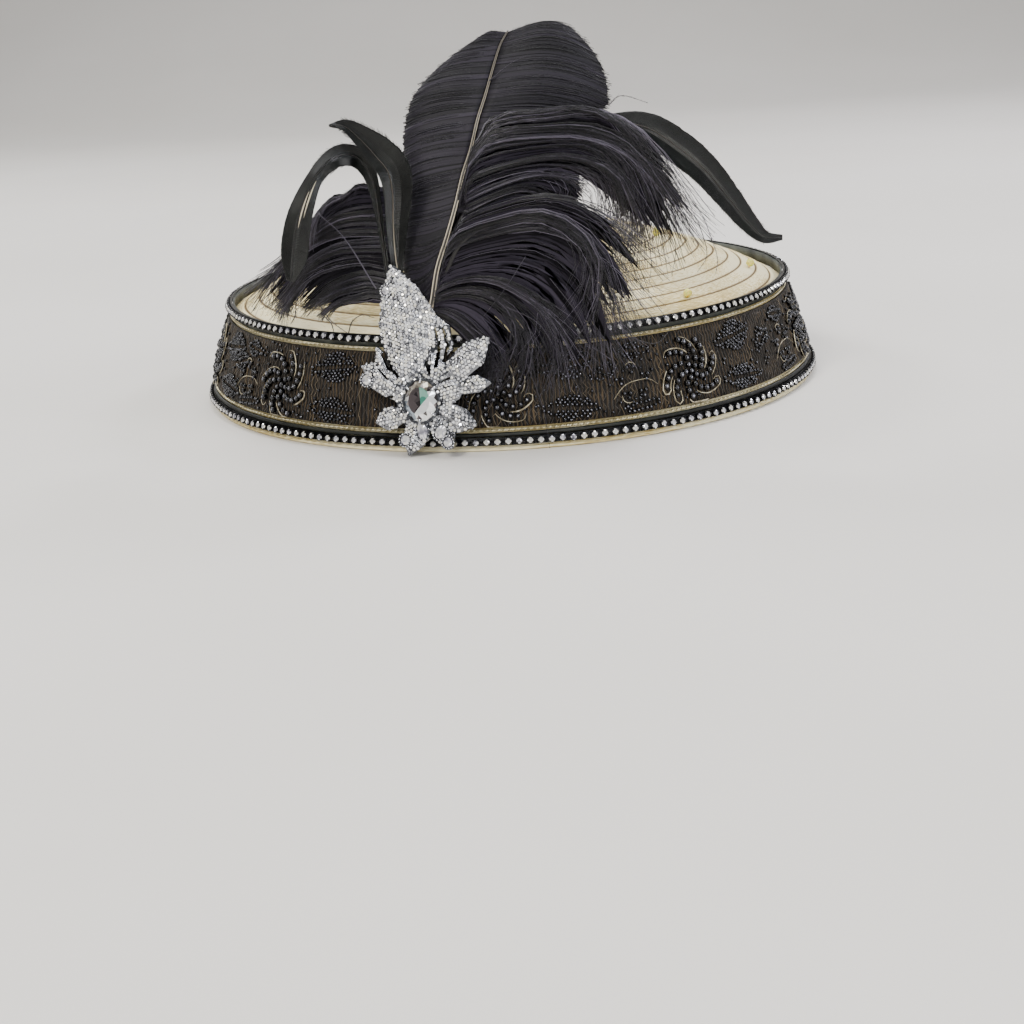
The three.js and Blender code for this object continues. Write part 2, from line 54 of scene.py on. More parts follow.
# The hat's driving sizes
RIM_RADIUS, EDGE_RADIUS, EDGE_HEIGHT, CROWN_RISE = 158.6, 144.5, 44.5, 38.8
EDGE_ROUNDING, STRAW, BRAID_ROWS, BRAID_GROOVE, GAP = 0.8, 2.0, 20, 0.55, 0.3
LACE_FROM, LACE_TO, LACE_THICK, LACE_BULGE = 10.6, 43.6, 1.4, 0.8
LACE_ARC_RADIUS = 153.0
LACE_LENGTH = 2 * math.pi * LACE_ARC_RADIUS
SATIN_FROM, SATIN_TO, SATIN_THICK, SATIN_BULGE = 6.5, 8.1, 1.1, 0.25
LOWER_CORD_HEIGHT, UPPER_CORD_HEIGHT, CORD_RADIUS = 9.2, 44.9, 0.75
LOWER_STONES = {"radius": 159.7, "height": 4.5, "tilt": 0.0}
UPPER_STONES = {"radius": 146.7, "height": 49.7, "tilt": 0.25}
STONE_PITCH, STONE_RADIUS, CUP_RADIUS = 4.95, 1.42, 1.72
TRIM_TAPE_INSIDE, TRIM_TAPE_OUTSIDE, TRIM_TAPE_HALF = 1.9, 0.8, 1.75
TAPE_FOOT, TAPE_TOP, TAPE_THICK, TAPE_LEAN = 45.4, 51.0, 0.9, 0.3
BROOCH_TURN = math.radians(-16.5)
SIDE_LEAN = math.atan2(LOWER_STONES["radius"] - UPPER_STONES["radius"],
                       UPPER_STONES["height"] - LOWER_STONES["height"])
BROOCH_STANDOFF, STEM_RADIUS = 5.1, 1.1
STEM_DEPTH, STEM_FOOT, STEM_CROSSING = -1.6, 34, 46
# The feathers face this way, and their flues don't reach below this height
FACING = np.array([0, -0.96, 0.28])
LOWEST_FLUE = 0.7


# Places and shapes

def row(points):
    """Points in millimetres about the hat's axis, as metres in the frame."""
    return np.asarray(points, float) * MM + AXIS


def full_turn(count, shift=0.0):
    """Angles that are even all the way round, from 0 or from a share of one step on."""
    return (np.arange(count) + shift) / count * 2 * math.pi


def around(angle, radius, height):
    """Points about the hat's axis, with the angle counted from the front."""
    angle, radius, height = np.broadcast_arrays(angle, radius, height)
    return np.stack([np.sin(angle) * radius, -np.cos(angle) * radius, height], -1)


def side_radius(height):
    """The straw's radius at a height on its sloping side."""
    return RIM_RADIUS + (EDGE_RADIUS - RIM_RADIUS) * np.asarray(height) / EDGE_HEIGHT


def dome_height(radius):
    """The straw's height at a radius on its dome, which drops faster in the last millimetres."""
    share = np.asarray(radius) / EDGE_RADIUS
    return EDGE_HEIGHT + (CROWN_RISE - EDGE_ROUNDING) * (1 - share ** 2) + EDGE_ROUNDING * (1 - share ** 12)


def belly(share, bulge):
    """How far a band stands out at a share of its height, most at the middle."""
    return bulge * (1 - np.abs(2 * share - 1))


def spread(rng, shape):
    """Bell-shaped draws about 0 without their far ends, so that nothing strays out of the hat's box."""
    return np.clip(rng.normal(0, 1, shape), -1.6, 1.6)


def unit(vectors):
    """Vectors of length 1 in the same directions."""
    vectors = np.asarray(vectors, float)
    return vectors / np.maximum(np.linalg.norm(vectors, axis=-1, keepdims=True), 1e-9)


def lengths_along(points):
    """The distance along a line from its start to each of its points."""
    return np.concatenate([[0], np.cumsum(np.linalg.norm(np.diff(points, axis=0), axis=1))])


def clear_of_hat(points, gap=1.2):
    """Pushes points out of the straw, the lace and the floor."""
    points = np.array(points, float)
    radius = np.hypot(points[..., 0], points[..., 1])
    over_dome = radius < EDGE_RADIUS
    floor = np.where(over_dome, dome_height(np.minimum(radius, EDGE_RADIUS)) + gap, LOWEST_FLUE)
    low = points[..., 2] < floor
    wall = side_radius(np.clip(points[..., 2], 0, EDGE_HEIGHT)) + LACE_THICK + LACE_BULGE + 2 * gap
    inside = (points[..., 2] < EDGE_HEIGHT - 2) & (radius < wall)
    push = np.where(inside, wall / np.maximum(radius, 1), 1)
    points[..., 0] *= push
    points[..., 1] *= push
    points[..., 2] = np.where(low & ~inside, floor, np.maximum(points[..., 2], LOWEST_FLUE))
    return points


class Form:
    """One piece, gathered from many copies of small closed shapes."""

    def __init__(self):
        self.points, self.faces, self.tones, self.finishes, self.lays, self.count = [], [], [], [], [], 0

    def add(self, points, faces, tone=0.5, finish=0, lay=None):
        """points is (copies, corners, 3); faces is a list of arrays of corners, the same for each copy."""
        points = np.asarray(points, float)
        if points.ndim == 2:
            points = points[None]
        copies, corners = points.shape[:2]
        starts = (np.arange(copies) * corners + self.count)[:, None, None]
        for index, group in enumerate(faces):
            group = np.asarray(group)
            placed = (group[None] + starts).reshape(-1, group.shape[1])
            self.faces.append(placed)
            own = finish[index] if isinstance(finish, list) else finish
            self.finishes.append(np.broadcast_to(own, len(placed)))
        tone = np.asarray(tone, float)
        tone = tone[:, None] if tone.ndim == 1 else tone
        self.tones.append(np.broadcast_to(tone, (copies, corners)).reshape(-1))
        lay = np.zeros(3) if lay is None else np.asarray(lay, float)
        self.lays.append(np.broadcast_to(lay, (copies, corners, 3)).reshape(-1, 3))
        self.points.append(points.reshape(-1, 3))
        self.count += copies * corners
        return self

    def piece(self, name, materials, slot, nodes=(), smooth=True):
        """Makes the object, which rides on the hat, with its tone and lay kept on its points."""
        mesh = bpy.data.meshes.new(name)
        faces = [face for group in self.faces for face in group.tolist()]
        mesh.from_pydata(row(np.concatenate(self.points)).tolist(), [], faces)
        for material in materials:
            mesh.materials.append(material)
        mesh.polygons.foreach_set("material_index", np.concatenate(self.finishes))
        mesh.polygons.foreach_set("use_smooth", np.full(len(faces), smooth))
        tone = mesh.attributes.new("tone", "FLOAT", "POINT")
        tone.data.foreach_set("value", np.concatenate(self.tones))
        lay = mesh.attributes.new("lay", "FLOAT_VECTOR", "POINT")
        lay.data.foreach_set("vector", np.concatenate(self.lays).ravel())
        mesh.update()
        made = bpy.data.objects.new(name, mesh)
        bpy.context.scene.collection.objects.link(made)
        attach(made, "root")
        if nodes:
            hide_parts(*nodes)
        return made


def pattern_places(*ways):
    """Each point's place in its material's pattern, from its three lengths in millimetres."""
    return np.stack(np.broadcast_arrays(*ways), -1).reshape(1, -1, 3)


def ring_faces(rings, sides, closed=False):
    """Quads between rings of points that follow each other."""
    ring, side = np.meshgrid(np.arange(rings if closed else rings - 1), np.arange(sides), indexing="ij")
    after, beside = (ring + 1) % rings, (side + 1) % sides
    corners = [ring * sides + side, ring * sides + beside, after * sides + beside, after * sides + side]
    return np.stack(corners, -1).reshape(-1, 4)


def tubes(paths, widths, depths=None, sides=3, start=math.pi / 2, camber=0.0, reference=FACING):
    """Closed tapering tubes along paths (tubes, steps, 3), wide across and deep towards the reference."""
    paths = np.asarray(paths, float)
    count, steps = paths.shape[:2]
    depths = widths if depths is None else depths
    widths, depths = (np.broadcast_to(np.asarray(half, float), (count, steps))[..., None]
                      for half in (widths, depths))
    along = unit(np.gradient(paths, axis=1))
    side = unit(np.cross(along, reference))
    face = unit(np.cross(side, along))
    turn = start + full_turn(sides)
    across = np.cos(turn) * widths
    through = np.sin(turn) * depths + camber * widths * np.cos(turn) ** 2
    points = paths[:, :, None] + side[:, :, None] * across[..., None] + face[:, :, None] * through[..., None]
    last = (steps - 1) * sides
    ends = np.array([np.arange(sides)[::-1], last + np.arange(sides)])
    return points.reshape(count, steps * sides, 3), [ring_faces(steps, sides), ends]


def turned(outline, segments, relief=None):
    """A closed outline of radii and heights turned about the axis. The relief moves its points out and up."""
    angles = full_turn(segments)[:, None]
    radius, height = np.asarray(outline, float).T[:, None]
    if relief is not None:
        outwards, upwards = relief(angles, radius, height)
        radius, height = radius + outwards, height + upwards
    return around(angles, radius, height).reshape(-1, 3), [ring_faces(segments, len(outline), closed=True)]


def on_side(arc, height, lift=0.0):
    """Points on the hat's side: arc is measured from the front along the middle of the lace."""
    share = np.clip((np.asarray(height, float) - LACE_FROM) / (LACE_TO - LACE_FROM), 0, 1)
    out = side_radius(height) + GAP + LACE_THICK + belly(share, LACE_BULGE) + lift
    return around(np.asarray(arc, float) / LACE_ARC_RADIUS, out, height)


def side_normal(arc):
    """The direction straight out of the hat's side."""
    return around(np.asarray(arc, float) / LACE_ARC_RADIUS, math.cos(SIDE_LEAN), math.sin(SIDE_LEAN))


def spline(a, b, c, d, share):
    """The smooth line from b to c that has a before and d after it, at a share of the way."""
    return 0.5 * (2 * b + (c - a) * share + (2 * a - 5 * b + 4 * c - d) * share ** 2
                  + (3 * b - a - 3 * c + d) * share ** 3)


def catmull(points, places):
    """A smooth line through points at places counted in points, as the feathers' solids take it."""
    points = np.asarray(points, float)
    places = np.clip(np.asarray(places, float), 0, len(points) - 1)
    index = np.minimum(places.astype(int), len(points) - 2)
    padded = np.concatenate([[2 * points[0] - points[1]], points, [2 * points[-1] - points[-2]]])
    return spline(*(padded[index + k] for k in range(4)), (places - index)[:, None])


def smooth_line(points, steps):
    """Steps along the smooth line through all of the points."""
    return catmull(points, np.linspace(0, len(points) - 1, steps))


# Materials

def lit(hex_colour):
    """An sRGB hex colour as linear light."""
    parts = [int(hex_colour[i:i + 2], 16) / 255 for i in (1, 3, 5)]
    return [p / 12.92 if p <= 0.04045 else ((p + 0.055) / 1.055) ** 2.4 for p in parts] + [1.0]


def add_node(tree, kind, feeds=None, sets=None, stops=None, **properties):
    """Adds a node: feeds link its sockets, sets give them values, stops are a ramp's places and colours."""
    made = tree.nodes.new(kind)
    for name, value in properties.items():
        setattr(made, name, value)
    for socket, value in (sets or {}).items():
        made.inputs[socket].default_value = value
    for socket, source in (feeds or {}).items():
        tree.links.new(source, made.inputs[socket])
    if stops:
        ramp = made.color_ramp
        for index, (place, colour) in enumerate(stops):
            element = ramp.elements[index] if index < 2 else ramp.elements.new(place)
            element.position, element.color = place, lit(colour)
    return made


def new_finish(name, **sets):
    """A material with its one Principled shader, whose fixed values are set on its own sockets."""
    material = bpy.data.materials.new(name)
    material.use_nodes = True
    shader = material.node_tree.nodes["Principled BSDF"]
    for socket, value in sets.items():
        shader.inputs[socket.replace("_", " ")].default_value = value
    return material, material.node_tree, shader


def straw_finish():
    """Sewn wheat straw: cream, matte, with a fine grain along each braid, darker grooves and painted tan
    shade over each braid's edges and in the grooves.
    """
    material, tree, shader = new_finish("wheat_straw_braid", Roughness=0.62, Specular_IOR_Level=0.35)
    lay = add_node(tree, "ShaderNodeAttribute", attribute_name="lay")
    tone = add_node(tree, "ShaderNodeAttribute", attribute_name="tone")
    # The grain's streaks are 0.45 mm wide, and on their ring 17 mm long in front and shorter at the sides.
    # The patches of lighter and darker straw are 29 mm wide
    stretched = add_node(tree, "ShaderNodeVectorMath", {0: lay.outputs["Vector"]}, {1: (0.06, 2.2, 1.0)},
                         operation="MULTIPLY")
    grain = add_node(tree, "ShaderNodeTexNoise", {"Vector": stretched.outputs[0]},
                     {"Scale": 1.0, "Detail": 4.0})
    patch = add_node(tree, "ShaderNodeTexNoise", {"Vector": lay.outputs["Vector"]},
                     {"Scale": 0.035, "Detail": 2.0})
    mixed = add_node(tree, "ShaderNodeMath", {0: grain.outputs[0], 1: patch.outputs[0]}, operation="ADD")
    cream = add_node(tree, "ShaderNodeValToRGB", {0: mixed.outputs[0]},
                     stops=[(0.75, "#b79f63"), (0.9, "#d6c389"), (1.05, "#e4d5a2"), (1.3, "#eee3ba")])
    # The tone kept on the crown's rings darkens the cream: painted shade, lightest on each braid's crown and
    # darkest in its groove
    groove = add_node(tree, "ShaderNodeValToRGB", {0: tone.outputs["Fac"]},
                      stops=[(0.0, "#3d3224"), (0.4, "#8f7c5c"), (0.72, "#ffffff")])
    shaded = add_node(tree, "ShaderNodeMix", {6: cream.outputs[0], 7: groove.outputs[0]}, {0: 1.0},
                      data_type="RGBA", blend_type="MULTIPLY")
    bump = add_node(tree, "ShaderNodeBump", {"Height": grain.outputs[0]},
                    {"Strength": 0.35, "Distance": 0.4 * MM})
    tree.links.new(shaded.outputs[2], shader.inputs["Base Color"])
    tree.links.new(bump.outputs[0], shader.inputs["Normal"])
    return material


def ribbed_finish(name, stops, spacing, waver, cloud, strength, rise, detail=3.0, crinkle=1.0, lit_ribs=True,
                  **sets):
    """Ribs across a piece's length over soft clouds. The ribs' spacing and rise and the clouds' width are in
    millimetres, and lit ribs are lighter than what lies between them."""
    material, tree, shader = new_finish(name, **sets)
    lay = add_node(tree, "ShaderNodeAttribute", attribute_name="lay")
    ribs = add_node(tree, "ShaderNodeTexWave", {"Vector": lay.outputs["Vector"]},
                    {"Scale": WAVE_LENGTH / spacing, "Distortion": waver, "Detail": detail,
                     "Detail Scale": crinkle}, bands_direction="X")
    clouds = add_node(tree, "ShaderNodeTexNoise", {"Vector": lay.outputs["Vector"]},
                      {"Scale": 1 / cloud, "Detail": 3.0})
    shade = clouds
    if lit_ribs:
        shade = add_node(tree, "ShaderNodeMath", {0: ribs.outputs["Fac"], 1: clouds.outputs[0]},
                         operation="MULTIPLY")
    colour = add_node(tree, "ShaderNodeValToRGB", {0: shade.outputs[0]}, stops=stops)
    bump = add_node(tree, "ShaderNodeBump", {"Height": ribs.outputs["Fac"]},
                    {"Strength": strength, "Distance": rise * MM})
    tree.links.new(colour.outputs[0], shader.inputs["Base Color"])
    tree.links.new(bump.outputs[0], shader.inputs["Normal"])
    return material


def toned_finish(name, stops, grit=0.0, **sets):
    """A colour that follows each small shape's own tone, with a surface as uneven as grit of that many mm."""
    material, tree, shader = new_finish(name, **sets)
    tone = add_node(tree, "ShaderNodeAttribute", attribute_name="tone")
    colour = add_node(tree, "ShaderNodeValToRGB", {0: tone.outputs["Fac"]}, stops=stops)
    tree.links.new(colour.outputs[0], shader.inputs["Base Color"])
    if grit:
        place = add_node(tree, "ShaderNodeTexCoord")
        noise = add_node(tree, "ShaderNodeTexNoise", {"Vector": place.outputs["Object"]},
                         {"Scale": 1 / (grit * MM), "Detail": 3.0})
        bump = add_node(tree, "ShaderNodeBump", {"Height": noise.outputs[0]},
                        {"Strength": 0.5, "Distance": 0.2 * MM})
        tree.links.new(bump.outputs[0], shader.inputs["Normal"])
    return material


def crystal_finish(name, dark, light):
    """Cut crystal on a foil back: glossy, with a painted reflection as one facet's tint, in patches 2.4 mm
    wide.
    """
    material, tree, shader = new_finish("foiled_crystal_painted_reflection_" + name, Roughness=0.04, IOR=1.55, Metallic=0.45,
                                        Coat_Weight=1.0, Coat_Roughness=0.0)
    place = add_node(tree, "ShaderNodeTexCoord")
    cells = add_node(tree, "ShaderNodeTexVoronoi", {"Vector": place.outputs["Object"]},
                     {"Scale": 1 / (CRYSTAL_PATCH * MM)})
    colour = add_node(tree, "ShaderNodeValToRGB", {0: cells.outputs["Color"]},
                      stops=[(0.2, dark), (0.6, light)])
    tree.links.new(colour.outputs[0], shader.inputs["Base Color"])
    return material


# A wave texture of scale 1 has one rib in this length
WAVE_LENGTH = math.pi / 10
CRYSTAL_PATCH = 2.381
STRAW_FINISH = straw_finish()
# Machine lace: brown tulle over black net, with bronze threads that crinkle up and down 1.85 mm apart
LACE_GROUND = ribbed_finish("bronze_lace_ground", [(0.12, "#0d0b08"), (0.35, "#261f17"), (0.7, "#54452f")],
                            spacing=1.848, waver=9.0, cloud=11.11, strength=0.7, rise=0.5, crinkle=0.35,
                            Roughness=0.7, Specular_IOR_Level=0.3)
# Bronze lace thread: dull metal wound on brown silk, which glints in short stretches
BRONZE_THREAD = toned_finish("bronze_lace_thread", [(0.0, "#14110d"), (0.5, "#3a3126"), (0.85, "#5d4f39"),
                                                    (1.0, "#7d6c4d")], Roughness=0.45, Sheen_Weight=0.1)
# Black glass beads: a polished black body, with a painted highlight on top, a pale spot that stands for the
# room it mirrors
BLACK_BEAD = toned_finish("black_glass_bead_painted_highlight", [(0.0, "#010102"), (0.55, "#07070b"), (0.75, "#5d5e68"),
                                               (1.0, "#c9cad4")], Roughness=0.16, Specular_IOR_Level=0.4)
# Twisted metallic cord: pale gold foil on cotton
GOLD_CORD = toned_finish("pale_gold_cord", [(0.0, "#756b4d"), (0.5, "#c4b98f"), (1.0, "#f2ebcf")],
                         grit=0.4, Roughness=0.38, Metallic=0.65)
# Flat scroll cord on the lace: tarnished silver gilt
SCROLL_CORD = toned_finish("silver_gilt_cord", [(0.0, "#4a4438"), (0.6, "#91876f"), (1.0, "#ddd5bd")],
                           grit=0.4, Roughness=0.45, Metallic=0.45)
# Woven satin tape: a soft sheen, over threads 0.4 mm apart that are drawn coarser than real to show
SATIN_WEAVE = {"spacing": 0.3927, "waver": 1.5, "cloud": 12.5, "strength": 0.4, "rise": 0.2, "detail": 2.0,
               "lit_ribs": False, "Roughness": 0.5, "Specular_IOR_Level": 0.35}
DARK_SATIN = ribbed_finish("dark_satin_tape", [(0.35, "#090a09"), (0.7, "#1d201b")], **SATIN_WEAVE)
GREY_TAPE = ribbed_finish("grey_net_tape", [(0.35, "#232725"), (0.7, "#575b55")], **SATIN_WEAVE)
# Black plated brass cups of the stone trim
BLACK_CUP = toned_finish("black_plated_cup", [(0.0, "#040405"), (1.0, "#1c1c1f")], grit=0.6667,
                         Roughness=0.3, Metallic=0.6)
# Foil backed rhinestones: facets painted white, grey and black as reflections of the room, on a mirroring
# finish
RHINESTONE = toned_finish("foiled_rhinestone_painted_reflections", [(0.0, "#3c3b42"), (0.3, "#b9b7c4"), (0.55, "#fbfbfd"),
                                                (1.0, "#fffbee")],
                          Roughness=0.05, Metallic=0.55, Specular_IOR_Level=1.0)
# The small pave stones of the brooch: facets painted white, grey and dark as reflections of the room, so they
# glitter unevenly
PAVE = toned_finish("pave_rhinestone_painted_reflections", [(0.0, "#1d1e22"), (0.12, "#6a6b71"), (0.35, "#dfe0e6"),
                                        (0.75, "#ffffff"), (1.0, "#fcf6e4")],
                    Roughness=0.08, Metallic=0.35, Specular_IOR_Level=1.0)
# The centre stone's facet tints: painted reflections of the room
CRYSTAL_REFLECTIONS = [crystal_finish("white", "#eef2f0", "#ffffff"), crystal_finish("dark", "#2a2627", "#595152"),
            crystal_finish("sea_green", "#4b937e", "#9ccdbb"),
            crystal_finish("blue_grey", "#66717c", "#9aa6b2"),
            crystal_finish("warm_grey", "#6e675c", "#a79f90")]
WHITE, DARK, SEA_GREEN, BLUE_GREY, WARM_GREY = range(5)
# Rhodium plated casting: bright, a little uneven from polishing by hand
RHODIUM = toned_finish("rhodium_plate", [(0.0, "#7d7f84"), (1.0, "#dcdde0")], grit=1.111,
                       Roughness=0.22, Metallic=1.0)
# Ostrich flues, dyed black: soft keratin that shines along its length. The lightest tones are painted sheen
OSTRICH = toned_finish("ostrich_flue",
                       [(0.0, "#020203"), (0.35, "#0d0c10"), (0.7, "#2d2934"), (1.0, "#6c6675")],
                       Roughness=0.38, Specular_IOR_Level=0.5, Sheen_Weight=0.05, Sheen_Roughness=0.35)
# The tall plume lies flatter to the light and looks matte, a violet grey over black
OSTRICH_MATTE = toned_finish("ostrich_flue_matte",
                             [(0.0, "#020203"), (0.25, "#100f14"), (0.6, "#29252f"), (1.0, "#48434f")],
                             Roughness=0.6, Specular_IOR_Level=0.25, Sheen_Weight=0.1, Sheen_Roughness=0.4)
# Flues deep inside a dark plume lie too close for light to glance off them: matte, and darker as painted
# shade
OSTRICH_DEEP = toned_finish("ostrich_flue_deep_painted_shade", [(0.0, "#020203"), (0.4, "#131116"), (1.0, "#38343e")],
                            Roughness=0.8, Specular_IOR_Level=0.1)
# Feather quill: horn, dyed dark along its middle and pale at its edges
QUILL = toned_finish("feather_quill", [(0.0, "#08070a"), (0.5, "#4d463d"), (1.0, "#e2d6bd")], grit=0.8333,
                     Roughness=0.4)
# Moulded plastic head of a pin: yellow green, and it glows a little inside
PIN_HEAD = toned_finish("yellow_pin_head", [(0.0, "#b9a92a"), (1.0, "#f0ea86")], grit=1.4286,
                        Roughness=0.25, Subsurface_Weight=0.3)
# Cock's tail feather: glossy black with an olive green bloom. Its barbs, 0.75 mm apart, are coarser than real
COQUE = ribbed_finish("cock_feather", [(0.1, "#020303"), (0.4, "#070a09"), (0.8, "#1a211b")],
                      spacing=0.748, waver=2.0, cloud=11.11, strength=0.6, rise=0.3,
                      Roughness=0.27, Specular_IOR_Level=0.36)


# The straw crown

# Rings on each sewn braid: the place across it, the rise above the dome and the painted shade. The groove
# comes last
BRAID_PROFILE = [(0.07, -0.1, 0.45), (0.2, 0.16, 0.9), (0.5, 0.3, 1.0), (0.8, 0.2, 0.95), (0.94, 0.0, 0.7),
                 (1.0, -BRAID_GROOVE, 0.0)]
# Rings round the rim and up to the inside of the edge: radius, height and painted shade
RIM_PROFILE = [(RIM_RADIUS + 0.2, 0.9, 0.95), (RIM_RADIUS, 0.15, 0.9), (RIM_RADIUS - 0.5, 0.0, 0.8),
               (RIM_RADIUS - STRAW, 0.0, 0.6), (EDGE_RADIUS - STRAW - 0.6, EDGE_HEIGHT - STRAW, 0.5)]
CROWN_SEGMENTS, DOME_HOLE = 240, 0.3
# The straw's grain runs on a ring of this radius, so that it meets itself without a seam
GRAIN_RADIUS = 60


def crown_outline():
    """The crown's section, from its dome over the side and the rim to the dome's inside, with painted shades.
    """
    top, width = float(dome_height(0)), EDGE_RADIUS / BRAID_ROWS
    rings = [(DOME_HOLE, top, 0.5)]
    for braid in range(BRAID_ROWS):
        for share, rise, shade in BRAID_PROFILE:
            radius = (braid + share) * width
            rings.append((radius, dome_height(radius) + rise, shade))
    rings[-1] = (EDGE_RADIUS, EDGE_HEIGHT, 0.8)
    for share in (0.2, 0.4, 0.6, 0.8, 0.9, 0.96):
        height = EDGE_HEIGHT * (1 - share)
        rings.append((side_radius(height), height, 0.9))
    rings += RIM_PROFILE
    for radius in np.linspace(0.9, 0.02, 12) * EDGE_RADIUS:
        rings.append((radius, dome_height(radius) - STRAW - BRAID_GROOVE, 0.55))
    rings.append((DOME_HOLE, top - STRAW - BRAID_GROOVE, 0.5))
    rings = np.array(rings, float)
    return rings[:, :2], rings[:, 2]


def hand_sewn(angle, radius, height):
    """How far the braids wander outwards and upwards, less towards the dome's middle and its edge."""
    on_top = (height > EDGE_HEIGHT - 1) & (radius < EDGE_RADIUS - 0.5)
    fade = on_top * np.clip((EDGE_RADIUS - radius) / 8, 0, 1) * np.clip(radius / 12, 0, 1)
    wander = 0.35 * np.sin(3 * angle + radius * 0.31) + 0.22 * np.sin(11 * angle - radius * 0.83)
    dent = 0.35 * np.sin(2 * angle + 0.6) + 0.18 * np.sin(7 * angle + radius * 0.11)
    return wander * fade, dent * fade


def straw_crown():
    """Sewn rings of braid, with a groove between each two."""
    outline, shade = crown_outline()
    points, faces = turned(outline, CROWN_SEGMENTS, hand_sewn)
    angles = full_turn(CROWN_SEGMENTS)[:, None]
    lay = pattern_places(np.sin(angles) * GRAIN_RADIUS, lengths_along(outline), np.cos(angles) * GRAIN_RADIUS)
    form = Form().add(points, faces, np.tile(shade, CROWN_SEGMENTS)[None], lay=lay)
    return form.piece("straw_crown_braid", [STRAW_FINISH], "straw", ["straw_crown"])


def band(name, outline, material, slot, node, segments=360):
    """A turned band. Its pattern runs from the front to the back, on the left other than on the right."""
    angles = full_turn(segments)[:, None]
    arc = np.abs((angles + math.pi) % (2 * math.pi) - math.pi) * LACE_ARC_RADIUS
    lay = pattern_places(arc, np.asarray(outline, float)[:, 1], np.sign(np.sin(angles)) * 9)
    form = Form().add(*turned(outline, segments), lay=lay)
    return form.piece(name, [material], slot, [node])


# The beaded lace

def side_outline(low, high, thick, bulge=0.0, steps=2):
    """The section of a band that lies on the straw: its outer face from the foot up, then its inner face."""
    share = np.linspace(0, 1, steps)
    height = low + (high - low) * share
    outer = side_radius(height) + GAP + thick + belly(share, bulge)
    return [*zip(outer, height), (side_radius(high) + GAP, high), (side_radius(low) + GAP, low)]


THREADS, THREAD_STEPS, THREAD_RADIUS = 480, 15, 0.2


def lace_threads():
    """Bronze threads that crinkle up and down the lace, 2 mm apart."""
    rng = np.random.default_rng(11)
    height = np.linspace(LACE_FROM + 0.3, LACE_TO - 0.3, THREAD_STEPS)
    start = np.arange(THREADS)[:, None] * (LACE_LENGTH / THREADS)
    phase = rng.uniform(0, 6.28, (THREADS, 1))
    swing = rng.uniform(0.5, 1.3, (THREADS, 1))
    pitch = rng.uniform(3.0, 5.5, (THREADS, 1))
    crinkle = swing * np.sin(height * 2 * math.pi / pitch + phase)
    arc = start + crinkle + rng.normal(0, 0.3, (THREADS, THREAD_STEPS))
    form = Form().add(*tubes(on_side(arc, height, 0.12), THREAD_RADIUS), tone=rng.beta(1.2, 1.7, THREADS))
    return form.piece("lace_threads", [BRONZE_THREAD], "lace")


# A bead's two rings: how many points each has, then how far from the middle it lies and how wide it is,
# both as shares of the bead's radius
BEAD_SIDES, BEAD_RING_HEIGHT, BEAD_RING_WIDTH = 6, 0.62, 0.975
BEAD_POINTS = 2 * BEAD_SIDES + 2


def bead_shapes(places, normals, diameters):
    """Round beads: two rings of six between two poles, pole outwards."""
    normals = unit(normals)
    across = unit(np.cross(normals, [0.0, 0.0, 1.0]))
    up = np.cross(normals, across)
    radius = (np.asarray(diameters, float) / 2)[:, None]
    points = [places + normals * radius]
    for height in (BEAD_RING_HEIGHT, -BEAD_RING_HEIGHT):
        for angle in full_turn(BEAD_SIDES):
            aside = across * math.cos(angle) + up * math.sin(angle)
            points.append(places + normals * radius * height + aside * radius * BEAD_RING_WIDTH)
    points.append(places - normals * radius)
    upper = 1 + np.arange(BEAD_SIDES)
    upper_next = np.roll(upper, -1)
    lower, lower_next = upper + BEAD_SIDES, upper_next + BEAD_SIDES
    pole = np.zeros_like(upper)
    top = np.stack([pole, upper, upper_next], -1)
    middle = np.stack([upper, lower, lower_next, upper_next], -1)
    bottom = np.stack([pole + BEAD_POINTS - 1, lower_next, lower], -1)
    return np.stack(points, 1), [top, middle, bottom]


# Diameters of the lace's beads
PETAL_BEAD, HEART_BEAD, FLORET_BEAD, LEAF_BEAD, SINGLE_BEAD = 3.0, 2.8, 2.0, 1.7, 1.5


def ring_place(arc, height, away, angle):
    """A place on the side, away from another one in the direction of an angle."""
    return arc + away * math.cos(angle), height + away * math.sin(angle)


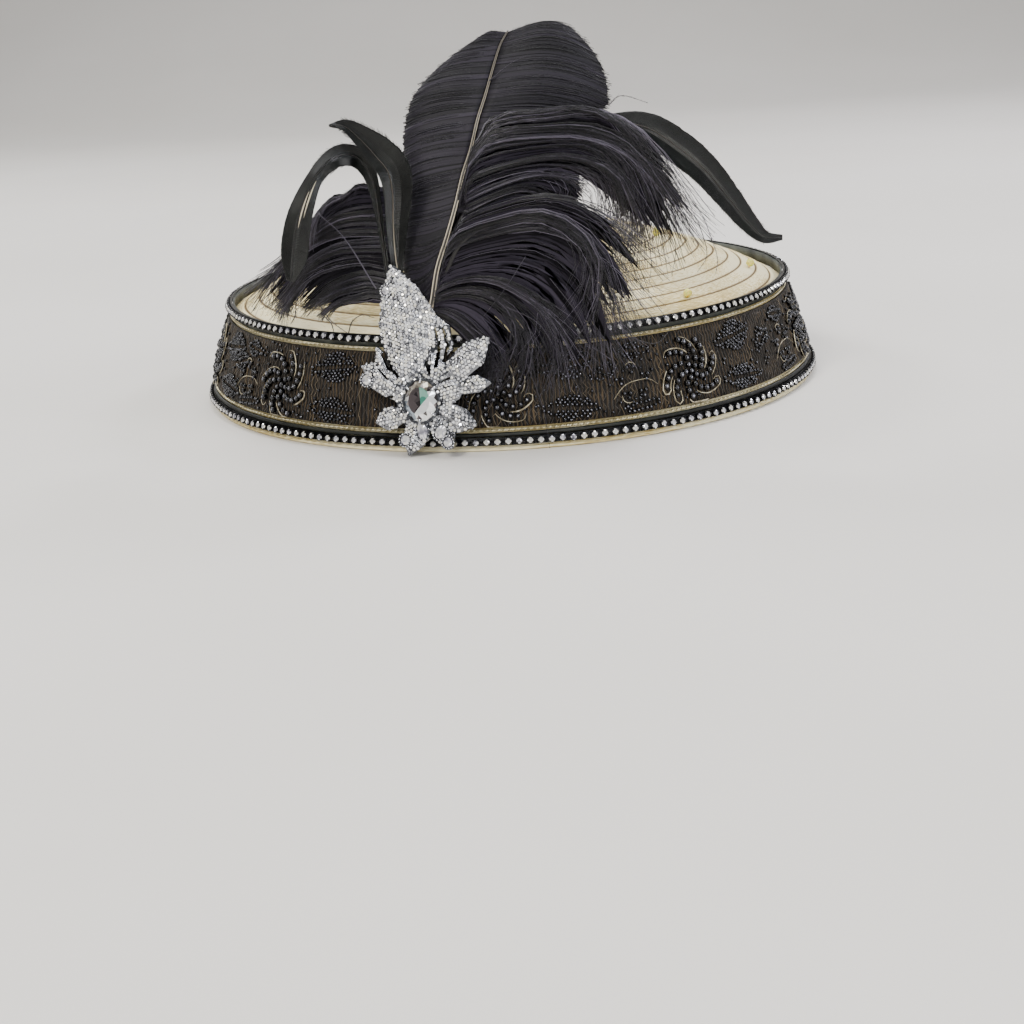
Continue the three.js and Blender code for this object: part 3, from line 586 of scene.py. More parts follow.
class Embroidery:
    """The beads and scroll cords of the lace, kept as places on the side until they are all known."""

    def __init__(self, seed):
        self.beads, self.cords, self.rng = [], [], np.random.default_rng(seed)

    def line(self, points, size, pitch):
        """Beads of one size along a line of [arc, height] points."""
        points = np.asarray(points, float)
        length = lengths_along(points)
        count = max(1, round(length[-1] / pitch))
        at = (np.arange(count) + 0.5) / count * length[-1]
        for arc, height in zip(np.interp(at, length, points[:, 0]), np.interp(at, length, points[:, 1])):
            self.beads.append((arc, height, size))

    def cord(self, points, width):
        """A scroll cord along a line. The width given is half of the cord's."""
        self.cords.append((np.asarray(points, float), width))

    def swirl_flower(self, arc, height, radius, turn):
        """A pinwheel of eight comma petals, each one row of large beads, partly edged by a scroll cord."""
        for petal in full_turn(8):
            shares = np.linspace(0.3, 1, 12) * self.rng.uniform(0.94, 1.06)
            bend = self.rng.uniform(1.1, 1.4) * shares ** 1.4
            angles = turn + petal + self.rng.normal(0, 0.05) + bend
            reach = radius * shares[:, None]
            spine = np.array([arc, height]) + np.stack([np.cos(angles), np.sin(angles)], -1) * reach
            self.line(spine, PETAL_BEAD, 3.25)
            along = unit(np.gradient(spine, axis=0))
            aside = np.stack([along[:, 1], -along[:, 0]], -1) * 1.95
            tip = spine[-1] + along[-1] * 1.9
            outline = np.concatenate([(spine + aside)[2:], [tip], (spine - aside)[:4:-1]])
            first = self.rng.integers(0, 6)
            last = first + self.rng.integers(6, 13)
            self.cord(outline[first:last], self.rng.uniform(0.24, 0.48))
        for away, count in ((0.0, 1), (3.1, 5)):
            for angle in turn + full_turn(count):
                self.beads.append((*ring_place(arc, height, away, angle), HEART_BEAD))

    def leaf(self, arc, height, length, width, turn):
        """A leaf of small beads in slanted rows on both sides of its middle."""
        way = np.array([math.cos(turn), math.sin(turn)])
        out = np.array([-way[1], way[0]])
        start = np.array([arc, height], float)
        for along in np.arange(0.5, length, 2.15):
            half = width / 2 * math.sin(math.pi * min(1, along / length) ** 0.75)
            for side in (-1, 1):
                row_start = start + way * along + out * side * 0.8
                row_end = start + way * (along + half * 0.75) + out * side * half
                self.line([row_start, row_end], LEAF_BEAD, 1.65)

    def florets(self, arc, height, radius):
        """Five round florets on a curling stem, two of them with a scroll cord outside."""
        for number, angle in enumerate(full_turn(5) + 0.4):
            centre = (arc + radius * math.cos(angle), height + radius * 0.9 * math.sin(angle))
            self.line([ring_place(*centre, 1.7, a) for a in np.linspace(0, 5.4, 7)], FLORET_BEAD, 1.9)
            if number % 2:
                ring = [ring_place(*centre, 3.1, a) for a in np.linspace(angle - 1.1, angle + 1.0, 8)]
                self.cord(ring, 0.24)
        stem = [(-radius - 4, -6), (-radius, -2), (-2, 0.5), (radius, 1), (radius + 5, -2)]
        self.cord(np.array([arc, height]) + stem, 0.22)

    def scatter(self, count):
        """Single small beads between the motifs."""
        arcs = self.rng.uniform(-LACE_LENGTH / 2, LACE_LENGTH / 2, count)
        for arc, height in zip(arcs, self.rng.uniform(LACE_FROM, LACE_TO, count)):
            self.beads.append((arc, height, SINGLE_BEAD))


# Flowers' places along the side from the front: arc, height, radius and turn
FLOWERS = [(-205, 26, 15.0, 0.3), (-120, 25, 15.6, 1.0), (-6, 25, 14.0, 0.2), (88, 25, 15.6, 0.6),
           (192, 26, 15.8, 0.9), (287, 25, 15.0, 0.1), (381, 26, 15.4, 0.8), (476, 25, 15.0, 0.5),
           (570, 26, 15.4, 1.1), (663, 25, 15.0, 0.0)]


def embroidery():
    """After each flower come two leaves, one over the other, and before the next florets between two."""
    work = Embroidery(8)
    for index, (arc, height, radius, turn) in enumerate(FLOWERS):
        following = FLOWERS[(index + 1) % len(FLOWERS)][0]
        following += LACE_LENGTH if following < arc else 0
        work.swirl_flower(arc, height, radius, turn)
        work.leaf(arc + 18, 34.0, 27, 14, 0.12)
        work.leaf(arc + 19, 17.5, 27, 12, -0.06)
        work.florets(following - 31, 24.5, 6.8)
        work.leaf(following - 20, 37.5, 17, 8, 3.05)
        work.leaf(following - 19, 14.8, 19, 8, 3.25)
        work.leaf((arc + following) / 2 - 5, 28.5, 15, 8, 0.3)
    work.scatter(800)
    return without_overlaps(np.array(work.beads)), work.cords


def without_overlaps(beads, cell=3):
    """The beads that lie on the lace and don't reach into those before them, found by cells of 3 mm."""
    margin = beads[:, 2] / 2
    beads = beads[(beads[:, 1] > LACE_FROM + margin) & (beads[:, 1] < LACE_TO - margin)]
    beads[:, 0] = (beads[:, 0] + LACE_LENGTH / 2) % LACE_LENGTH - LACE_LENGTH / 2
    kept, cells = [], {}
    for index, (arc, height, size) in enumerate(beads):
        column, line = int(arc // cell), int(height // cell)
        near = [beads[other] for across in (-1, 0, 1) for up in (-1, 0, 1)
                for other in cells.get((column + across, line + up), ())]
        if all(math.hypot(arc - n[0], height - n[1]) > 0.45 * (size + n[2]) for n in near):
            cells.setdefault((column, line), []).append(index)
            kept.append(index)
    return beads[kept]


def lace_beads(beads, rng):
    """Glass beads sewn a little unevenly, each with a painted highlight: a pale spot on the pole that faces
    out.
    """
    outwards = side_normal(beads[:, 0])
    places = on_side(beads[:, 0], beads[:, 1]) + outwards * (beads[:, 2:3] * 0.38)
    places += rng.normal(0, 0.12, places.shape)
    tones = np.tile(rng.uniform(0, 0.4, (len(beads), 1)), (1, BEAD_POINTS))
    # The high tone on each bead's outer pole is a painted highlight
    tones[:, 0] = rng.uniform(0.8, 1.0, len(beads))
    diameters = beads[:, 2] * rng.uniform(0.9, 1.08, len(beads))
    form = Form().add(*bead_shapes(places, outwards, diameters), tone=tones)
    return form.piece("lace_beads", [BLACK_BEAD], "lace")


def scroll_cords(cords, rng, steps=14, sides=4):
    """Flat cords that curl over the lace and thin out at both ends."""
    form = Form()
    for line, wide in cords:
        arc, height = smooth_line(line, steps).T
        path = on_side(arc, np.clip(height, LACE_FROM + 0.6, LACE_TO - 0.6), 1.5)
        width = wide * np.sin(np.linspace(0.5, math.pi - 0.25, steps)) ** 0.7
        shape = tubes([path], width, width * 0.7, sides, reference=side_normal(arc.mean()))
        form.add(*shape, tone=rng.uniform(0.3, 1, steps * sides)[None])
    return form.piece("lace_scroll_cords", [SCROLL_CORD], "gold_cord")


def lace_work():
    """The lace as one sheet: its ground, threads, beads and scroll cords."""
    rng = np.random.default_rng(5)
    outline = side_outline(LACE_FROM, LACE_TO, LACE_THICK, LACE_BULGE, 9)
    ground = band("lace_band_ground", outline, LACE_GROUND, "lace", "lace_band", 720)
    lace_threads()
    beads, cords = embroidery()
    lace_beads(beads, rng)
    scroll_cords(cords, rng)


# The cords, tapes and stone trims

CORD_PITCH, STRAND_STEPS, STRAND_AWAY, STRAND_RADIUS = 2.6, 7, 0.28, 0.36


def twisted_cord(name, node, height):
    """Two strands twisted together, lighter and darker in turn."""
    turns = int(2 * math.pi * side_radius(height) / CORD_PITCH)
    steps = turns * STRAND_STEPS + 1
    angle = np.arange(steps) / (steps - 1) * 2 * math.pi
    form = Form()
    for strand in (0, math.pi):
        twist = angle * turns + strand
        radius = side_radius(height) + GAP + CORD_RADIUS + STRAND_AWAY * np.cos(twist)
        path = around(angle, radius, height + STRAND_AWAY * np.sin(twist))
        tone = 0.5 + 0.4 * np.cos(twist * 0.5 + 0.37 * np.arange(steps))
        shape = tubes([path], STRAND_RADIUS, reference=np.array([0, 0, 1.0]))
        form.add(*shape, tone=np.repeat(tone, 3)[None])
    return form.piece(name, [GOLD_CORD], "gold_cord", [node])


def satin_strip():
    """The strip of dark tape that shows between the lower stones and the lace."""
    outline = side_outline(SATIN_FROM, SATIN_TO, SATIN_THICK, SATIN_BULGE, 4)
    return band("satin_strip_tape", outline, DARK_SATIN, "satin", "satin_strip")


def upper_tape():
    """The grey tape that stands inside the upper stones and leans in a little."""
    foot = UPPER_STONES["radius"] - TRIM_TAPE_INSIDE - GAP
    top = foot - (TAPE_TOP - TAPE_FOOT) * math.tan(SIDE_LEAN) * TAPE_LEAN
    outline = [(foot, TAPE_FOOT), (top, TAPE_TOP),
               (top - TAPE_THICK, TAPE_TOP), (foot - TAPE_THICK, TAPE_FOOT)]
    return band("upper_tape_net", outline, GREY_TAPE, "satin", "upper_tape")


def gems(places, normals, radii, sides=8, table=0.55, rise=0.42, depth=0.5, lengths=None, ups=None):
    """Round cut stones: a table, a ring of triangles down to the girdle, and a pointed back."""
    normals = unit(normals)
    if ups is None:
        ups = np.cross(normals, unit(np.cross([0.0, 0.0, 1.0], normals)))
    across = unit(np.cross(ups, normals))
    up = unit(np.cross(normals, across))
    radii = np.asarray(radii, float)[:, None]
    lengths = radii if lengths is None else np.asarray(lengths, float)[:, None]
    points = []
    for share, height, shift in ((table, rise, 0), (0.86, rise * 0.5, 0.5), (1.0, 0.0, 0)):
        for angle in full_turn(sides, shift):
            aside = across * radii * math.cos(angle) + up * lengths * math.sin(angle)
            points.append(places + aside * share + normals * radii * height)
    points.append(places - normals * radii * depth)
    top, top_next = np.arange(sides), np.roll(np.arange(sides), -1)
    middle, girdle, girdle_next = sides + top, 2 * sides + top, 2 * sides + top_next
    facets = [(top, middle, top_next), (top, girdle, middle), (middle, girdle_next, top_next),
              (middle, girdle, girdle_next), (girdle, np.full(sides, 3 * sides), girdle_next)]
    crown = np.concatenate([np.stack(corners, -1) for corners in facets])
    return np.stack(points, 1), [top[None], crown]


# Cups and prongs are turned about this direction, just off the vertical, so that none lies along it
NEARLY_UP = np.array([0.02, 0.03, 1.0])
# A stone of eight sides has three rings of eight points, and one point at its back
STONE_POINTS = 25


def trim_tape(radius, height, segments):
    """The black tape on which the cups are sewn, as it leans with the hat's side."""
    outline = [(radius - away - up * math.tan(SIDE_LEAN), height + up) for away, up in
               ((TRIM_TAPE_OUTSIDE, -TRIM_TAPE_HALF), (TRIM_TAPE_OUTSIDE, TRIM_TAPE_HALF),
                (TRIM_TAPE_INSIDE, TRIM_TAPE_HALF), (TRIM_TAPE_INSIDE, -TRIM_TAPE_HALF))]
    return turned(outline, segments)


def cups(centres, out):
    """Cups that open outwards, with a rim that turns in."""
    levels = np.stack([centres + out * level for level in (-1.5, -0.2, 0.35, 0.3)], 1)
    return tubes(levels, [1.5, CUP_RADIUS, CUP_RADIUS, CUP_RADIUS * 0.8], sides=8, reference=NEARLY_UP)


def prongs(centres, way, out):
    """One bent prong on each cup, which holds its stone from one side."""
    foot = centres + way * CUP_RADIUS * 0.98
    tip = centres + way * CUP_RADIUS * 0.62 + out * 1.05
    knee = (foot + tip) / 2 + out * 0.35
    return tubes(np.stack([foot, knee, tip], 1), [0.34, 0.3, 0.12], sides=4, reference=NEARLY_UP)


def links(centres, out):
    """Short bars from the back of each cup to the next."""
    ends = np.roll(centres, -1, axis=0)
    middles = (centres + ends) / 2 - out * 0.8
    return tubes(np.stack([centres - out * 0.9, middles, ends - out * 0.9], 1), 0.7, sides=4)


def stone_trim(name, node, stones):
    """Rhinestones in black cups with four prongs, joined by short links."""
    count = round(2 * math.pi * stones["radius"] / STONE_PITCH)
    rng = np.random.default_rng(count)
    angle, lean = full_turn(count, 0.5), SIDE_LEAN + stones["tilt"]
    out = around(angle, math.cos(lean), math.sin(lean))
    along = np.stack([np.cos(angle), np.sin(angle), 0 * angle], -1)
    up = np.cross(along, out)
    centres = around(angle, stones["radius"], stones["height"]) + up * rng.normal(0, 0.12, (count, 1))
    tilted = unit(out + rng.normal(0, 0.05, (count, 3)))
    form = Form().add(*trim_tape(stones["radius"], stones["height"], 2 * count), tone=0.1)
    form.add(*cups(centres, out), tone=rng.uniform(0, 1, count))
    for way in full_turn(4, 0.5):
        form.add(*prongs(centres, along * math.cos(way) + up * math.sin(way), out), tone=1.0)
    form.add(*links(centres, out), tone=0.2)
    # The tones of each stone's points are painted reflections: white, grey and black
    facets = np.clip(rng.uniform(0.4, 0.95, (count, 1)) + 0.28 * spread(rng, (count, STONE_POINTS)), 0, 1)
    form.add(*gems(centres + out * 0.4, tilted, np.full(count, STONE_RADIUS)), tone=facets, finish=1)
    return form.piece(name, [BLACK_CUP, RHINESTONE], "stone_trim", [node], smooth=False)


# The brooch

BROOCH = (Matrix.Rotation(BROOCH_TURN, 4, "Z")
          @ Matrix.Translation((0, -(LOWER_STONES["radius"] + BROOCH_STANDOFF * math.cos(SIDE_LEAN)),
                                LOWER_STONES["height"] + BROOCH_STANDOFF * math.sin(SIDE_LEAN)))
          @ Matrix.Rotation(math.pi / 2 - SIDE_LEAN, 4, "X"))
BROOCH_ACROSS, BROOCH_UP, BROOCH_OUT = (BROOCH.to_3x3() @ Vector(way)
                                        for way in ((1, 0, 0), (0, 1, 0), (0, 0, 1)))


def on_brooch(x, y, z):
    """A place on the brooch, measured across, up and out from it."""
    return np.array(BROOCH @ Vector((x, y, z)))


# Columns: base, tip, bend, width, place of the widest point, as the setting's leaves have them
BROOCH_LEAVES = [
    ((0, 31), (-10.7, 80), -2.8, 28, 0.42), ((6, 31), (5, 62), -11, 9, 0.5), ((-2, 27), (-4, 46), 1, 15, 0.4),
    ((10, 27), (8, 46), -2, 11, 0.45), ((-2, 24), (-16.8, 43.2), 3, 10, 0.55),
    ((-2, 21), (-23.2, 34.6), -1, 15, 0.6), ((-2, 13), (-16.6, 9.2), 0, 10.5, 0.6),
    ((3, 13), (0, -5.4), 1.2, 11.5, 0.6), ((10, 13), (20.6, -1.4), 1, 10.5, 0.62),
    ((11, 17), (31.6, 8.4), -1.2, 12.5, 0.6), ((11, 22), (26, 27), 0, 14, 0.5),
    ((14, 29), (36.4, 48), -1.5, 13.5, 0.62), ((19, 24.5), (38, 27.6), 0.6, 8.5, 0.6),
]
# Columns: place, length, width, turn and rise of the girdle
CENTRE_STONE = ((6.2, 18.8), 18.8, 15.6, 0, 4.4)
ACCENT_STONES = {
    "left_tip": ((-20.4, 28.2), 4.6, 4.2, 0, 3.4),
    "top_edge": ((-12.2, 68.6), 3.8, 3.8, 0, 2.8),
    "lower_left": ((-1.4, 1.2), 4.6, 4.4, 0.3, 2.6),
    "under_centre": ((6.4, 5.6), 8.4, 5, 0.25, 2.6),
    "lower_right": ((15.4, 5.2), 6.6, 5, -0.6, 3),
    "right_tip": ((18.8, 0.6), 4.4, 4.2, 0, 2.6),
}
# Pave stones: how far apart along a row, how far apart the rows are, and how close two of them may come
PAVE_PITCH = 1.66
PAVE_ROW, PAVE_CLOSEST = PAVE_PITCH * 0.87, PAVE_PITCH * 0.84


def leaf_half(along, widest):
    """Half a leaf's width at a place along it, as a share of its widest half."""
    if along < widest:
        return 0.5 + 0.5 * math.sin(along / widest * math.pi / 2)
    return math.cos(min(1, (along - widest) / (1 - widest)) * math.pi / 2)


def leaf_places():
    """Rows of places along each leaf of the brooch, closest to its spine first."""
    for base, tip, bend, width, widest in BROOCH_LEAVES:
        start, reach = np.array(base, float), np.array(tip, float) - np.array(base, float)
        length = np.hypot(*reach)
        side = np.array([-reach[1], reach[0]]) / length
        rows = int(width / 2 / PAVE_PITCH) + 1
        for lane in sorted(range(-rows, rows + 1), key=abs):
            for step in range(int(length / PAVE_PITCH) + 1):
                along = (step + 0.5 * (lane % 2)) * PAVE_PITCH / length
                if along <= 1 and abs(lane) * PAVE_ROW <= width / 2 * leaf_half(along, widest) + 0.15:
                    aside = bend * math.sin(along * math.pi) + lane * PAVE_ROW
                    yield start + reach * along + side * aside


def filler_places():
    """Rows of places over the whole brooch, for what the leaves' own rows leave bare."""
    for line, y in enumerate(np.arange(-12, 84, PAVE_ROW)):
        for x in np.arange(-28, 42, PAVE_PITCH):
            yield x + 0.5 * PAVE_PITCH * (line % 2), y


def under_a_stone(x, y):
    """Whether a place lies under one of the seven large stones or its collet."""
    return any(math.hypot((x - at[0]) / (wide / 2 + 0.8), (y - at[1]) / (long / 2 + 0.8)) < 1
               for at, long, wide, _, _ in [CENTRE_STONE, *ACCENT_STONES.values()])


def seats():
    """Where pave stones sit on the setting's own metal: x and y on the brooch, then the place and slope."""
    solid = bpy.data.objects[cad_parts["brooch_setting"].name]
    tree = BVHTree.FromObject(solid, bpy.context.evaluated_depsgraph_get())
    out, kept = BROOCH_OUT.normalized(), []

    def metal_under(x, y):
        return tree.ray_cast(Vector(row(on_brooch(x, y, 14))), -out, 0.02)[:2]

    for x, y in [*leaf_places(), *filler_places()]:
        crowded = any(math.hypot(x - a, y - b) < PAVE_CLOSEST for a, b in kept)
        if crowded or under_a_stone(x, y):
            continue
        place, slope = metal_under(x, y)
        if place is None or slope.dot(out) < 0.3:
            continue
        beside = [metal_under(x + dx, y + dy)[0] for dx, dy in ((0.6, 0), (-0.6, 0), (0, 0.6), (0, -0.6))]
        if beside.count(None) < 2:
            kept.append((x, y))
            yield x, y, (np.array(place) - AXIS) / MM, np.array(slope) * 0.7 + np.array(out) * 0.3


def brooch_pave():
    """Small stones set all over the leaves, with a grain of metal beside each."""
    rng = np.random.default_rng(3)
    kept, places, normals, radii = [], [], [], []
    for x, y, place, slope in seats():
        kept.append((x, y))
        places.append(place)
        normals.append(slope + 0.28 * spread(rng, 3))
        radii.append(rng.uniform(0.68, 0.9))
    places, normals = np.array(places), unit(np.array(normals))
    count = len(places)
    # Stones at the lower right get darker tones: painted shade. Each stone's facets vary about its tone as
    # painted reflections
    shaded = np.array([x > 12 and y < 16 for x, y in kept])
    tone = np.where(shaded, rng.beta(0.8, 1.4, count), rng.beta(1.1, 0.8, count))
    tone = np.clip(tone[:, None] + 0.25 * spread(rng, (count, STONE_POINTS)), 0, 1)
    form = Form().add(*gems(places + normals * 0.28, normals, radii), tone=tone)
    beside = unit(np.cross(normals, rng.normal(0, 1, (count, 3))))
    form.add(*bead_shapes(places + beside * 0.84 + normals * 0.3, normals, np.full(count, 0.5)), finish=1)
    return form.piece("brooch_pave", [PAVE, RHODIUM], "crystal", smooth=False)


def facet_finish(angle, index):
    """Which painted reflection a crown facet takes by its angle, in degrees, with a dark one here and there.
    """
    if index % 5 == 3:
        return DARK
    if 50 < angle < 150:
        return WARM_GREY
    return BLUE_GREY if 180 < angle < 255 else WHITE


def centre_stone(across, up, out):
    """The large stone. Its table is painted with reflections: a dark window, a sea green kite and white over
    the rest.
    """
    at, long, wide, _, rise = CENTRE_STONE
    points, (table, crown) = gems(np.array([on_brooch(*at, rise + 0.4)]), [out], [wide / 2 - 0.05], sides=16,
                                  table=0.66, rise=0.36, depth=0.16, lengths=[long / 2 - 0.05], ups=[up])
    heart = points[0][table[0]].mean(0) + across * 1.0 - up * 2.0 + out * 0.3
    points = np.concatenate([points, heart[None, None]], 1)
    last = points.shape[1] - 1
    tables = [np.array([[last, *corners]]) for corners in (range(4, 12), range(1, 5), [*range(11, 16), 0, 1])]
    middle = points[0][crown].mean(1) - on_brooch(*at, rise)
    angles = np.degrees(np.arctan2(middle @ up, middle @ across)) % 360
    finishes = [facet_finish(angle, index) for index, angle in enumerate(angles)]
    form = Form().add(points, [*tables, crown], finish=[DARK, SEA_GREEN, WHITE, finishes])
    return form.piece("brooch_centre_stone_cut", CRYSTAL_REFLECTIONS, "crystal", ["brooch_centre_stone"], smooth=False)


# Degrees round the centre stone at which its claws stand, then their points: away from its edge and out
CLAW_ANGLES = [38, 90, 142, 218, 270, 322]
CLAW_POINTS = [(0.9, -1), (0.6, 1.4), (-1.3, 2.2)]


def brooch_stones():
    """The large stones in beaded collets, cut finer than their solids, and the centre stone's claws."""
    across, up, out = (np.array(way) for way in (BROOCH_ACROSS, BROOCH_UP, BROOCH_OUT))
    collets, rng = Form(), np.random.default_rng(21)
    for name, (at, long, wide, turn, rise) in ACCENT_STONES.items():
        way = up * math.cos(turn) - across * math.sin(turn)
        aside = across * math.cos(turn) + up * math.sin(turn)
        middle = on_brooch(*at, rise + 0.4)
        stone = gems(np.array([middle]), [out], [wide / 2 + 0.05], sides=12, table=0.5, rise=0.5, depth=0.3,
                     lengths=[long / 2 + 0.05], ups=[way])
        # The stone's tones are painted reflections, as on the trims
        form = Form().add(*stone, tone=np.clip(0.55 + 0.34 * spread(rng, (1, 37)), 0, 1))
        form.piece(f"brooch_stone_{name}_cut", [RHINESTONE], "crystal", [f"brooch_stone_{name}"],
                   smooth=False)
        turns = full_turn(14)[:, None]
        ring = (middle + aside * np.cos(turns) * (wide / 2 + 0.75) + way * np.sin(turns) * (long / 2 + 0.75)
                + out * 0.25)
        collets.add(*bead_shapes(ring, np.tile(out, (14, 1)), np.full(14, 0.95)), tone=0.7)
    centre_stone(across, up, out)
    at, long, wide, _, rise = CENTRE_STONE
    for angle in np.radians(CLAW_ANGLES):
        ways = np.array([math.cos(angle), math.sin(angle)])
        reach = np.array([wide, long]) / 2
        claw = [on_brooch(*(np.array(at) + ways * (reach + away)), rise + high) for away, high in CLAW_POINTS]
        collets.add(*tubes([claw], [0.6, 0.55, 0.4], sides=8), tone=0.9)
    collets.piece("brooch_claws_and_collets", [RHODIUM], "silver")


def brooch_metal():
    """The setting and the pin are the solids' own shapes."""
    for node in ("brooch_setting", "brooch_pin"):
        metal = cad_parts[node]
        metal.data.materials.clear()
        metal.data.materials.append(RHODIUM)


# The feathers

def stem_points(stem, points):
    """A quill's points: its bare foot behind the brooch, then those in the open."""
    feet = [on_brooch(stem, height, STEM_DEPTH) for height in (STEM_FOOT, STEM_CROSSING)]
    return np.array([*feet, *points])


# Guide flues of each sweep, in order: a place along the quill, then points that the flue passes
TALL_LEFT = [
    (0.19, (-38, -137, 64), (-46, -130, 61)), (0.24, (-38, -135, 71), (-47, -128, 69)),
    (0.29, (-37, -133, 80), (-47, -127, 78)), (0.34, (-35, -132, 91), (-47, -126, 89)),
    (0.43, (-32, -128, 107), (-45.5, -123, 105)),
    (0.52, (-29, -123, 121), (-44, -120, 117)), (0.61, (-27, -118, 134), (-44, -115, 130)),
    (0.70, (-24, -111, 147), (-43, -109, 143)), (0.78, (-20, -106, 158), (-39, -104, 155)),
    (0.86, (-14, -100, 168), (-30, -99, 165)), (0.93, (-6, -95, 176), (-17, -95, 174)),
    (0.99, (2, -91, 181), (-4, -92, 181)),
]
TALL_RIGHT = [
    (0.40, (-9, -128, 104), (2, -124, 105)), (0.52, (3, -120, 121), (22, -112, 121)),
    (0.60, (9, -115, 133), (36, -106, 132)), (0.69, (18, -111, 146), (48, -103, 140)),
    (0.77, (24, -107, 157), (54, -101, 148)), (0.86, (27, -100, 169), (53, -96, 160)),
    (0.93, (26, -95, 179), (47, -91, 172)), (0.99, (24, -90, 184), (38, -87, 182)),
]
RIGHT_UPPER = [
    (0.34, (-6, -128, 141), (21, -129, 147), (47, -126, 145), (71, -113, 127), (99, -98, 89)),
    (0.36, (-7, -129, 137), (20, -130, 142), (47, -126, 141), (68, -114, 123), (92, -101, 80)),
    (0.38, (-8, -130, 133), (20, -130, 139), (46, -126, 135), (66, -116, 119), (87, -104, 74)),
    (0.41, (-10, -130, 129), (17, -130, 134), (44, -126, 131), (63, -117, 115), (80, -108, 75)),
    (0.44, (-12, -130, 124), (15, -130, 130), (41, -127, 128), (60, -119, 111), (75, -112, 80)),
    (0.47, (-13, -131, 119), (10, -130, 125), (32, -129, 126), (54, -122, 116), (67, -117, 88)),
    (0.50, (-14, -131, 115), (3, -131, 121), (23, -130, 122), (44, -126, 118), (58, -122, 99)),
]
RIGHT_LOWER = [
    (0.47, (-14, -132, 114), (1, -132, 120), (17, -132, 122), (32, -130, 121), (39, -129, 114)),
    (0.50, (-15, -132, 110), (-1, -132, 115), (14, -132, 118), (27, -131, 115), (36, -129, 106)),
    (0.52, (-16, -133, 105), (-3, -133, 110), (10, -133, 113), (22, -132, 110), (33, -131, 102)),
    (0.53, (-18, -135, 101), (-6, -135, 105), (5, -135, 107), (15, -134, 105), (23, -133, 100)),
]
LOWER = [
    (0.33, (-19, -147, 102), (-2, -153, 110), (20, -159, 113), (44, -160, 103), (68, -154, 76)),
    (0.31, (-22, -147, 97), (-2, -153, 105), (22, -159, 108), (46, -160, 94), (63, -156, 63)),
    (0.29, (-24, -146, 91), (-3, -153, 99), (21, -159, 101), (45, -160, 85), (59, -158, 51)),
    (0.27, (-25, -146, 86), (-4, -153, 93), (19, -159, 94), (42, -160, 75), (53, -159, 40)),
    (0.25, (-27, -145, 81), (-7, -152, 88), (16, -158, 87), (36, -160, 69), (45, -160, 31)),
    (0.24, (-28, -145, 77), (-10, -151, 82), (11, -156, 80), (29, -159, 62), (36, -160, 25)),
    (0.22, (-30, -144, 72), (-14, -150, 77), (3, -155, 73), (20, -158, 56), (26, -159, 23)),
    (0.20, (-31, -144, 68), (-18, -148, 71), (-3, -152, 66), (10, -156, 50), (15, -157, 24)),
    (0.18, (-32, -143, 65), (-21, -147, 66), (-10, -150, 60), (1, -153, 46), (4, -154, 26)),
    (0.15, (-33, -142, 63), (-25, -145, 62), (-17, -148, 56), (-8, -151, 44), (-5, -152, 29)),
    (0.12, (-33, -142, 60), (-28, -144, 58), (-22, -146, 53), (-16, -148, 45), (-13, -149, 35)),
]
LEFT = [
    (0.99, (-63, -122, 119), (-69, -123, 115), (-75, -122, 115), (-82, -121, 109), (-88, -119, 103)),
    (0.92, (-64, -121, 114), (-73, -120, 110), (-83, -117, 103), (-92, -113, 94), (-100, -108, 83)),
    (0.84, (-64, -121, 107), (-76, -118, 105), (-89, -114, 97), (-99, -107, 86), (-110, -100, 72)),
    (0.76, (-66, -120, 102), (-79, -116, 99), (-94, -110, 90), (-108, -102, 78), (-122, -92, 61)),
    (0.68, (-65, -120, 94), (-78, -117, 92), (-92, -112, 85), (-104, -105, 73), (-118, -97, 60)),
    (0.60, (-65, -122, 88), (-77, -119, 87), (-91, -115, 80), (-102, -108, 69), (-113, -101, 58)),
    (0.50, (-63, -123, 83), (-75, -121, 81), (-86, -117, 76), (-96, -112, 67), (-105, -105, 57)),
    (0.42, (-62, -125, 77), (-71, -123, 76), (-81, -119, 72), (-89, -114, 66), (-97, -108, 59)),
    (0.34, (-60, -128, 72), (-69, -126, 71), (-77, -123, 69), (-84, -118, 65), (-91, -112, 61)),
    (0.27, (-58, -131, 67), (-64, -129, 66), (-71, -126, 65), (-78, -121, 63), (-84, -115, 61)),
]

# What the two sweeps of the tall plume share: how many loose flues and flues in the sheet, how far along them
# the sheet reaches, how far their tips curl, and the number and length of each flue's fine barbs
FLAT_VANE = {"flues": 420, "sheet": 430, "cover": 0.97, "curl": 3.0, "fuzz": 24, "fluff": 2.2}


def dark_vane(guides, depth=2.2, fuzz=13, **rest):
    """A sweep whose flues draw together in strands and locks. Gather is how far they draw to their lock,
    drift and loose how far locks and flues stray as shares of their length, and hook how far ends turn."""
    return {"guides": guides, "depth": depth, "fuzz": fuzz, **rest}


